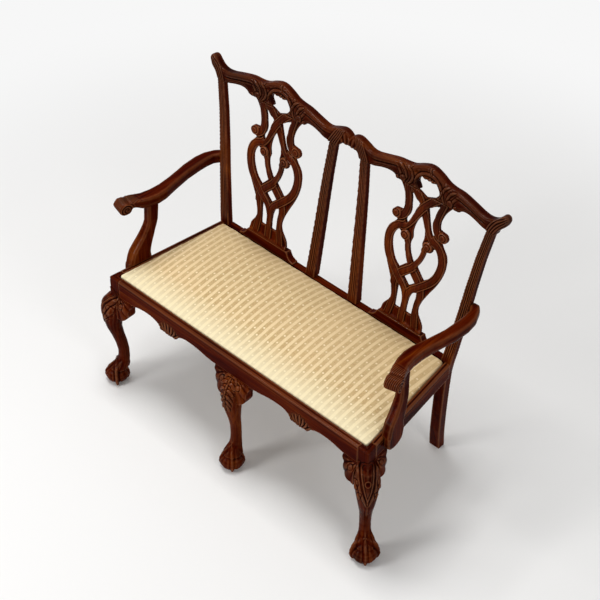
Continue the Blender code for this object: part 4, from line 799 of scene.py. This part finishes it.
# Legs, in distance across the knee's arris, and height
CARTOUCHE = ((.0, .409), (.0095, .405), (.0165, .390), (.0170, .368), (.0125, .344), (.0070, .316),
             (.0, .288))
SHIELD = np.array(CARTOUCHE[::-1])
CABOCHON_Z = 0.354
FLANK_LEAVES = (
    ((.0225, .402), (.0285, .380), (.0270, .350), (.0200, .318), (.0100, .284), (.0040, .262)),
    ((.0330, .398), (.0385, .376), (.0370, .346), (.0300, .316), (.0190, .290)),
    ((.0435, .392), (.0480, .368), (.0450, .340), (.0380, .318)),
    ((.0285, .352), (.0330, .338), (.0340, .322)), ((.0200, .318), (.0250, .304), (.0240, .288)),
)
CENTRE_STEM = ((.0, .392), (.0, .330), (.0, .262))
CENTRE_LEAVES = (
    ((.0030, .384), (.0120, .386), (.0240, .378)), ((.0030, .368), (.0140, .368), (.0260, .356)),
    ((.0030, .350), (.0140, .348), (.0250, .334)), ((.0025, .332), (.0130, .327), (.0220, .311)),
    ((.0025, .313), (.0110, .306), (.0180, .289)), ((.0020, .294), (.0090, .285), (.0130, .267)),
)


def talons(item, middle, first):
    # Narrow knuckled claws that run down over the ball, and the hollows beside them
    points = points_of(item.data)
    dx, dy, z = points[:, 0] - middle[0], points[:, 1] - middle[1], points[:, 2]
    reach = np.hypot(dx, dy)
    turn = np.arctan2(dy, dx) - first
    quarter = math.pi / 2
    turn = (turn + quarter / 2) % quarter - quarter / 2
    gap = reach * np.abs(turn)
    low = smoothstep(0.001, 0.006, z) * (1.0 - smoothstep(0.070, 0.092, z)) * smoothstep(0.010, 0.018, reach)
    claw = 0.0022 * np.exp(-(gap / 0.0034) ** 2) - 0.0012 * np.exp(-((gap - 0.0085) / 0.0030) ** 2)
    for height, size in ((0.060, 0.0004), (0.040, 0.0004), (0.021, 0.0003)):
        claw = claw + size * np.exp(-(gap / 0.0062) ** 2 - ((z - height) / 0.0050) ** 2)
        claw = claw - 0.0004 * np.exp(-(gap / 0.0062) ** 2 - ((z - height + 0.0095) / 0.0026) ** 2)
    tendon = 0.0010 * np.cos(turn * 4.0) * np.exp(-((z - 0.098) / 0.020) ** 2)
    press(item, claw * low + tendon)


def carve_knee(item, start, outward, corner):
    # A shield with a cabochon and leaves at its flanks on a corner knee, and paired leaves on the centre one
    points = points_of(item.data)
    across = (points[:, 0] - start[0]) * -outward[1] + (points[:, 1] - start[1]) * outward[0]
    z = points[:, 2]
    front = smoothstep(-0.05, 0.30, (normals_of(item.data)[:, :2] * np.array(outward)[None, :]).sum(1))
    height = np.zeros_like(z)
    mirror = np.abs(across)
    if corner:
        shield = np.interp(z, SHIELD[:, 1], SHIELD[:, 0])
        eye = np.hypot(across, z - CABOCHON_Z)
        height += 0.0016 * smoothstep(-0.0012, 0.0012, shield - mirror) * (shield > 0)
        height += ridge(mirror, z, CARTOUCHE, 0.0026, 0.0014, 0.9, 1.0)
        height -= 0.0024 * np.exp(-(eye / 0.0042) ** 2)
        height += 0.0012 * np.exp(-((eye - 0.0075) / 0.0016) ** 2)
        for line in FLANK_LEAVES:
            height += ridge(mirror, z, line, 0.0042, 0.0026)
    else:
        height += ridge(mirror, z, CENTRE_STEM, 0.0034, 0.0026, 0.6)
        for line in CENTRE_LEAVES:
            height += ridge(mirror, z, line, 0.0044, 0.0028)
    arris = smoothstep(0.190, 0.205, z) * (1.0 - smoothstep(.282, .290, z))
    arris = arris * (1.0 - smoothstep(0.0018, 0.0036, mirror))
    height += arris * 0.0016 * np.abs(np.sin(math.pi * z / 0.0085))
    press(item, height * front)


def make_leg(side, sign):
    name = f"front_{side}_leg"
    item = remeshed(f"carved_{name}", [name], LEG_SKIN)
    relaxed(item.data, 8)
    if sign:
        start = (sign * FRONT_HALF_WIDTH, FRONT_FACE_Y)
        outward = (sign * math.sqrt(0.5), -math.sqrt(0.5))
        foot = (start[0] + outward[0] * CORNER_FOOT_REACH, start[1] + outward[1] * CORNER_FOOT_REACH)
        first = math.atan2(outward[1], outward[0])
    else:
        start, outward = (0.0, FRONT_FACE_Y), (0.0, -1.0)
        foot = (0.0, FRONT_FACE_Y - CENTRE_FOOT_REACH)
        first = -math.pi / 4
    talons(item, foot, first)
    carve_knee(item, start, outward, bool(sign))
    relaxed(item.data, 1, 0.3)
    shade_relief(item.data, DEEP_RELIEF)
    quiet_ridges(item.data, 0.375, 0.395)
    finish_piece(item, [name], "frame", WOOD_Z)


make_leg("left", -1.0)
make_leg("centre", 0.0)
make_leg("right", 1.0)

BLOCK_EYE_RADIUS = 0.0075


def make_knee_block(name, sideways):
    # A leafy bracket: lobes that fan from the corner between leg and rail to a scalloped lower edge
    item = remeshed("carved_" + name, [name], BLOCK_SKIN)
    relaxed(item.data, 6)
    low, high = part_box(name)
    points = points_of(item.data)
    if sideways:
        sign = -1.0 if low.x < 0 else 1.0
        rail = points_of(NODES["left_side_rail" if sign < 0 else "right_side_rail"].data)
        near = rail[rail[:, 1] < rail[:, 1].min() + 0.010]
        far = rail[rail[:, 1] > rail[:, 1].max() - 0.010]
        a, b = near[np.argmax(sign * near[:, 0])], far[np.argmax(sign * far[:, 0])]
        run_way = (b - a)[:2] / np.linalg.norm((b - a)[:2])
        across = np.abs(points[:, 1] - low.y)
        way = (sign * abs(run_way[1]), -sign * run_way[0] * np.sign(run_way[1]), 0.0)
        plane = a[0] * way[0] + a[1] * way[1]
        run = high.y - low.y
    else:
        leg_left = name in ("front_left_knee_block_front", "centre_right_knee_block")
        across = points[:, 0] - low.x if leg_left else high.x - points[:, 0]
        way = (0.0, -1.0, 0.0)
        plane = -FRONT_FACE_Y
        run = high.x - low.x
    fall = high.z - points[:, 2]
    # Its face slopes back to the rail at the top and at the far end
    proud = points[:, 0] * way[0] + points[:, 1] * way[1] - plane
    keep = (0.10 + 0.90 * smoothstep(0.0, 0.034, fall)) * (1.0 - 0.65 * smoothstep(0.45, 1.0, across / run))
    points = points + np.array(way)[None, :] * (np.maximum(proud, 0.0) * (keep - 1.0))[:, None]
    set_points(item.data, points)
    turn = np.arctan2(across + 0.004, fall + 0.010)
    away = np.hypot(across + 0.004, fall + 0.010)
    lobes = np.abs(np.cos(turn * 8.0))
    height = 0.0034 * (lobes - 0.55) * smoothstep(0.010, 0.026, away)
    height += 0.0012 * np.cos(away / 0.0032) * np.exp(-((away - 0.030) / 0.012) ** 2)
    eye = np.hypot(across - 0.30 * run, fall - 0.022)
    height = np.where(eye < BLOCK_EYE_RADIUS, bulb(eye, BLOCK_EYE_RADIUS, 0.0030), height)
    height -= 0.0016 * np.exp(-((eye / BLOCK_EYE_RADIUS - 1.25) / 0.18) ** 2)
    free = smoothstep(0.0, 0.5, (normals_of(item.data) * np.array((way[0], way[1], -0.7))[None, :]).sum(1))
    press(item, height * free * smoothstep(0.002, 0.008, fall))
    relaxed(item.data, 1, 0.3)
    finish_wood(item, name, WOOD_Z)


for block in ("front_left_knee_block_front", "front_right_knee_block_front", "centre_left_knee_block",
              "centre_right_knee_block"):
    make_knee_block(block, False)
for block in ("front_left_knee_block_side", "front_right_knee_block_side"):
    make_knee_block(block, True)


# Front rail: a carved leaf on each drop of the shaped lower edge
DROP_LEAVES = (
    ((.0, .3720), (.0, .3950), (.0, .4200)), ((.0040, .3740), (.0120, .3900), (.0150, .4150)),
    ((.0090, .3735), (.0225, .3860), (.0290, .4060)), ((.0180, .3745), (.0340, .3830), (.0440, .3960)),
    ((.0300, .3770), (.0450, .3810), (.0570, .3870)),
)


def make_front_rail():
    item = remeshed("carved_front_rail", ["front_rail"], RAIL_SKIN)
    relaxed(item.data, 2)
    points = points_of(item.data)
    u, z = np.abs(np.abs(points[:, 0]) - APRON_DROP_X), points[:, 2]
    height = np.zeros_like(z)
    for line in DROP_LEAVES:
        height += ridge(u, z, line, 0.0036, 0.0026, 0.7)
    press(item, height * facing(item, (0.0, -1.0, 0.0)), (0.0, -1.0, 0.0))
    finish_wood(item, "front_rail", WOOD_X)


make_front_rail()


ARM_FULLNESS = 0.0135
ROLL_MIDDLE_REACH = 0.026
ROLL_MIDDLE_FALL = 0.0245
SPIRAL_PITCH = 0.0085
ROLL_REED_PITCH = 0.0056


def make_arm(side, sign):
    # The roll at the front: fine reeds over its top and a spiral on its end faces
    name = f"{side}_arm"
    item = remeshed("carved_" + name, [name], LEG_SKIN)
    relaxed(item.data, 6)
    low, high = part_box(name)
    back = points_of(item.data)[:, 1] - low.y
    relaxed(item.data, 24, where=1.0 - smoothstep(0.030, 0.070, back))
    # Deeper than its solid from behind the roll to the post
    points = points_of(item.data)
    back = points[:, 1] - low.y
    top, bottom = edge_heights(points[:, 1], points[:, 2], 0.004)
    drop = ARM_FULLNESS * (smoothstep(0.048, 0.085, back) - 0.25 * smoothstep(0.15, 0.25, back))
    press(item, -drop * (top - points[:, 2]) / (top - bottom), (0.0, 0.0, 1.0))
    relaxed(item.data, 8, where=smoothstep(0.15, 0.22, back))
    points, normals = points_of(item.data), normals_of(item.data)
    y, z = points[:, 1] - (low.y + ROLL_MIDDLE_REACH), points[:, 2] - (high.z - ROLL_MIDDLE_FALL)
    away, turn = np.hypot(y, z), np.arctan2(z, y)
    ends = smoothstep(0.55, 0.80, np.abs(normals[:, 0])) * (1.0 - smoothstep(0.022, 0.028, away))
    spiral = 0.0014 * np.cos(2.0 * math.pi * (away / SPIRAL_PITCH - turn / (2.0 * math.pi)))
    over = smoothstep(0.25, 0.60, normals[:, 2] - 0.6 * normals[:, 1]) * (1.0 - smoothstep(0.030, 0.048, y))
    reeds = 0.0007 * np.cos(2.0 * math.pi * (points[:, 0] - sign * ARM_MIDDLE_X) / ROLL_REED_PITCH)
    band = -0.0008 * np.exp(-((y - 0.046) / 0.0022) ** 2)
    press(item, spiral * ends + reeds * over * (1.0 - ends) + band * (normals[:, 2] > 0.3))
    relaxed(item.data, 1, 0.3)
    finish_wood(item, name, WOOD_Y)


make_arm("left", -1.0)
make_arm("right", 1.0)


def make_smooth(names, voxel, times, material):
    # The solid's own form with eased edges, its hollows and edges known to the polish
    for name in names:
        item = remeshed("polished_" + name, [name], voxel)
        relaxed(item.data, times)
        finish_wood(item, name, material, FINE_RELIEF)


make_smooth(("left_arm_support", "right_arm_support"), SUPPORT_SKIN, 8, WOOD_Z)

STILE_REED_DEPTH = 0.0022
STILE_REEDS = 5


def make_stile(name):
    # Fine reeds run up the front face of each upright
    item = remeshed("reeded_" + name, [name], LEG_SKIN)
    relaxed(item.data, 2)
    x, v, _ = back_coordinates(points_of(item.data))
    right, left = edge_heights(v, x, 0.004)
    u = 2.0 * (x - left) / (right - left) - 1.0
    lobes = np.abs(np.sin(math.pi * STILE_REEDS * (u * 1.04 + 1.0) / 2.0))
    height = STILE_REED_DEPTH * (lobes - 0.62) * (1.0 - smoothstep(0.90, 0.98, np.abs(u)))
    height = height * smoothstep(0.0, 0.05, v)
    press(item, height * facing(item, FORWARD), FORWARD)
    relaxed(item.data, 1, 0.3)
    finish_wood(item, name, WOOD_Z, FINE_RELIEF)


for upright in ("left_back_leg_stile", "right_back_leg_stile", "left_inner_stile", "right_inner_stile"):
    make_stile(upright)
make_smooth(("left_splat_shoe", "right_splat_shoe"), CARVED_SKIN, 2, WOOD_X)
make_smooth(("left_side_rail", "right_side_rail"), RAIL_SKIN, 1, WOOD_Y)


# The cushion
def cushion_skin():
    # The outer surface of the covered seat, without its underside
    source = NODES["seat_cover"].data
    tree = BVHTree.FromPolygons([v.co for v in source.vertices], [p.vertices for p in source.polygons])
    shape = bmesh.new()
    shape.from_mesh(source)
    bmesh.ops.remove_doubles(shape, verts=shape.verts, dist=1e-6)
    shape.normal_update()
    inner = []
    for face in shape.faces:
        centre = face.calc_center_median()
        hit = tree.ray_cast(centre + face.normal * 0.0005, face.normal)[0]
        if face.normal.z < -0.5 or hit is not None:
            inner.append(face)
    bmesh.ops.delete(shape, geom=inner, context="FACES")
    edges = [e for e in shape.edges if len(e.link_faces) == 1]
    bmesh.ops.holes_fill(shape, edges=edges, sides=0)
    bmesh.ops.recalc_face_normals(shape, faces=shape.faces)
    mesh = bpy.data.meshes.new("striped_seat_cushion")
    shape.to_mesh(mesh)
    shape.free()
    return mesh


CROWN_SHARES = ((-.230, .54), (-.160, .58), (-.105, .68), (-.055, .865), (.0, .98), (.040, 1.03),
                (.095, 1.13), (.135, 1.24), (.185, 1.18))
CLOTH_SETTINGS = {"quality": 6, "mass": 0.25, "tension_stiffness": 18.0, "compression_stiffness": 18.0,
                  "shear_stiffness": 6.0, "bending_stiffness": 0.4, "use_pressure": True,
                  "uniform_pressure_force": 4.0, "vertex_group_mass": "pins"}
CLOTH_STEPS = 20
CLOTH_SINK = 0.0018
MOST_PUFF = 0.006
CLOTH_THICKNESS = 0.0014


def crowned(points):
    # The seat is highest behind its middle and falls gently to the front edge
    line = curve_through(CROWN_SHARES)
    points = points.copy()
    rise = points[:, 2] - RAIL_TOP
    share = np.interp(points[:, 1], line[:, 0], line[:, 1])
    points[:, 2] = np.where(rise > 0.0, RAIL_TOP + rise * share, points[:, 2])
    return points


def drape(item, start, free):
    # Pressure from within stands for the padding and puffs the cover out, with its lower edge held
    pins = item.vertex_groups.new(name="pins")
    for i, share in enumerate(free):
        pins.add([i], float(1.0 - share), "REPLACE")
    cloth = item.modifiers.new("cloth", "CLOTH")
    for name, value in CLOTH_SETTINGS.items():
        setattr(cloth.settings, name, value)
    cloth.settings.effector_weights.gravity = 0.0
    cloth.collision_settings.use_collision = False
    for step in range(1, CLOTH_STEPS + 1):
        scene.frame_set(step)
    applied(item)
    item.vertex_groups.clear()
    moved = points_of(item.data) - start
    size = np.linalg.norm(moved, axis=1)
    moved *= (np.minimum(size, MOST_PUFF) / np.maximum(size, 1e-9))[:, None]
    moved *= free[:, None]
    set_points(item.data, start + moved)
    relaxed(item.data, 1, 0.3)
    scene.frame_set(1)


def open_below(item, height):
    shape = bmesh.new()
    shape.from_mesh(item.data)
    under = [f for f in shape.faces if f.normal.z < -0.6 and f.calc_center_median().z < height]
    bmesh.ops.delete(shape, geom=under, context="FACES")
    shape.to_mesh(item.data)
    shape.free()


def make_cushion():
    item = link("striped_seat_cushion", cushion_skin())
    low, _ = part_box("seat_cover")
    skin = item.modifiers.new("skin", "REMESH")
    skin.mode = "VOXEL"
    skin.voxel_size = CLOTH_SKIN
    applied(item)
    open_below(item, low.z + 0.006)
    relaxed(item.data, 2, 0.4)
    points = points_of(item.data)
    start = points.copy()
    free = smoothstep(RAIL_TOP - 0.002, RAIL_TOP + 0.010, points[:, 2])
    points[:, 2] -= CLOTH_SINK * free
    set_points(item.data, points)
    drape(item, start, free)
    points, normals = points_of(item.data), normals_of(item.data)
    # Shallow pulls where the cloth turns over the front and side edges
    turn = np.exp(-((points[:, 2] - RAIL_TOP - 0.006) / 0.007) ** 2)
    pull = 0.0005 * np.sin(points[:, 0] / 0.0115 + 1.3 * np.sin(points[:, 0] / 0.061))
    pull = pull + 0.0004 * np.sin(points[:, 1] / 0.0125 + 0.8)
    points = points + normals * (pull * turn)[:, None]
    set_points(item.data, crowned(points))
    shell = item.modifiers.new("thickness", "SOLIDIFY")
    shell.thickness = CLOTH_THICKNESS
    shell.offset = -1.0
    fine = item.modifiers.new("fine", "SUBSURF")
    fine.levels = 1
    fine.render_levels = 1
    applied(item)
    finish_piece(item, ["seat_cover"], "drop_in_seat", CLOTH)


make_cushion()


# Padding under the cover
def make_padding():
    item = remeshed("felted_seat_padding", ["seat_padding"], PADDING_SKIN)
    relaxed(item.data, 2)
    points, normals = points_of(item.data), normals_of(item.data)
    tufts = 0.0004 * np.sin(points[:, 0] / 0.011 + 2.0 * np.sin(points[:, 1] / 0.023))
    tufts = tufts * np.sin(points[:, 1] / 0.013)
    set_points(item.data, crowned(points - normals * (0.0006 + tufts)[:, None]))
    finish_piece(item, ["seat_padding"], "drop_in_seat", FELT)


make_padding()


# The stage
BACKDROP = 0.93
SKY_STRENGTH = 0.34
FLOOR_HALF = 9.0
FADE_START = 1.1
FADE_END = 2.4
CAMERA_PLACE = (2.5431, -2.6304, 3.9096)
CAMERA_PITCH = math.radians(90.0 - 42.702)
CAMERA_TURN = math.radians(43.4767)
CAMERA_LENS = 99.24
CAMERA_SENSOR = 36.0


def seen(tree):
    # One for camera, glossy and transmission rays, else nothing
    path = add(tree, "ShaderNodeLightPath").outputs
    mirrored_ray = math_node(tree, "MAXIMUM", path["Is Glossy Ray"], path["Is Transmission Ray"])
    return math_node(tree, "MAXIMUM", path["Is Camera Ray"], mirrored_ray)


def make_floor():
    # Pale floor that passes into the white backdrop between the two fade distances
    mesh = bpy.data.meshes.new("floor")
    corners = [(x * FLOOR_HALF, y * FLOOR_HALF, 0) for x, y in ((-1, -1), (1, -1), (1, 1), (-1, 1))]
    mesh.from_pydata(corners, [], [(0, 1, 2, 3)])
    floor = link("floor", mesh)
    material, tree, shader = new_material("pale_floor")
    preset(shader, {"Base Color": (0.90, 0.895, 0.885, 1.0), "Roughness": 0.8, "Specular IOR Level": 0.2})
    length = add(tree, "ShaderNodeVectorMath", operation="LENGTH")
    preset(length, {0: plain_place(tree)})
    distance = add(tree, "ShaderNodeMapRange", interpolation_type="SMOOTHSTEP")
    preset(distance, {"Value": length.outputs["Value"], "From Min": FADE_START, "From Max": FADE_END})
    glow = add(tree, "ShaderNodeEmission")
    preset(glow, {"Color": (BACKDROP, BACKDROP, BACKDROP, 1.0)})
    blend = add(tree, "ShaderNodeMixShader")
    share = product(tree, seen(tree), distance.outputs["Result"])
    preset(blend, {0: share, 1: shader.outputs[0], 2: glow.outputs[0]})
    preset(tree.nodes["Material Output"], {"Surface": blend.outputs[0]})
    mesh.materials.append(material)


def soft_light(name, place, aim, size, power):
    data = bpy.data.lights.new(name, "AREA")
    data.shape = "RECTANGLE"
    data.size, data.size_y = size
    data.energy = power
    lamp = bpy.data.objects.new(name, data)
    lamp.location = place
    lamp.rotation_euler = (Vector(aim) - Vector(place)).to_track_quat("-Z", "Y").to_euler()
    scene.collection.objects.link(lamp)


make_floor()
soft_light("overhead_light", (-0.8, -0.1, 4.6), (0.0, 0.0, 0.4), (1.8, 1.8), 114.0)
soft_light("front_light", (-1.4, -3.3, 2.1), (0.0, 0.0, 0.5), (1.1, 1.1), 46.0)
soft_light("right_light", (3.0, -0.8, 2.6), (0.0, 0.0, 0.5), (1.1, 1.1), 16.0)

world = bpy.data.worlds.new("studio")
scene.world = world
world.use_nodes = True
sky_tree = world.node_tree
sky = sky_tree.nodes["Background"]
sky_level = level(sky_tree, seen(sky_tree), 0.0, 1.0, SKY_STRENGTH, BACKDROP)
preset(sky, {"Color": (1.0, 1.0, 1.0, 1.0), "Strength": sky_level})

camera = bpy.data.objects.new("camera", bpy.data.cameras.new("camera"))
camera.location = CAMERA_PLACE
camera.rotation_euler = (CAMERA_PITCH, 0.0, CAMERA_TURN)
camera.data.lens = CAMERA_LENS
camera.data.sensor_width = CAMERA_SENSOR
scene.collection.objects.link(camera)
scene.camera = camera
scene.view_settings.view_transform = "Standard"

bpy.context.view_layer.update()
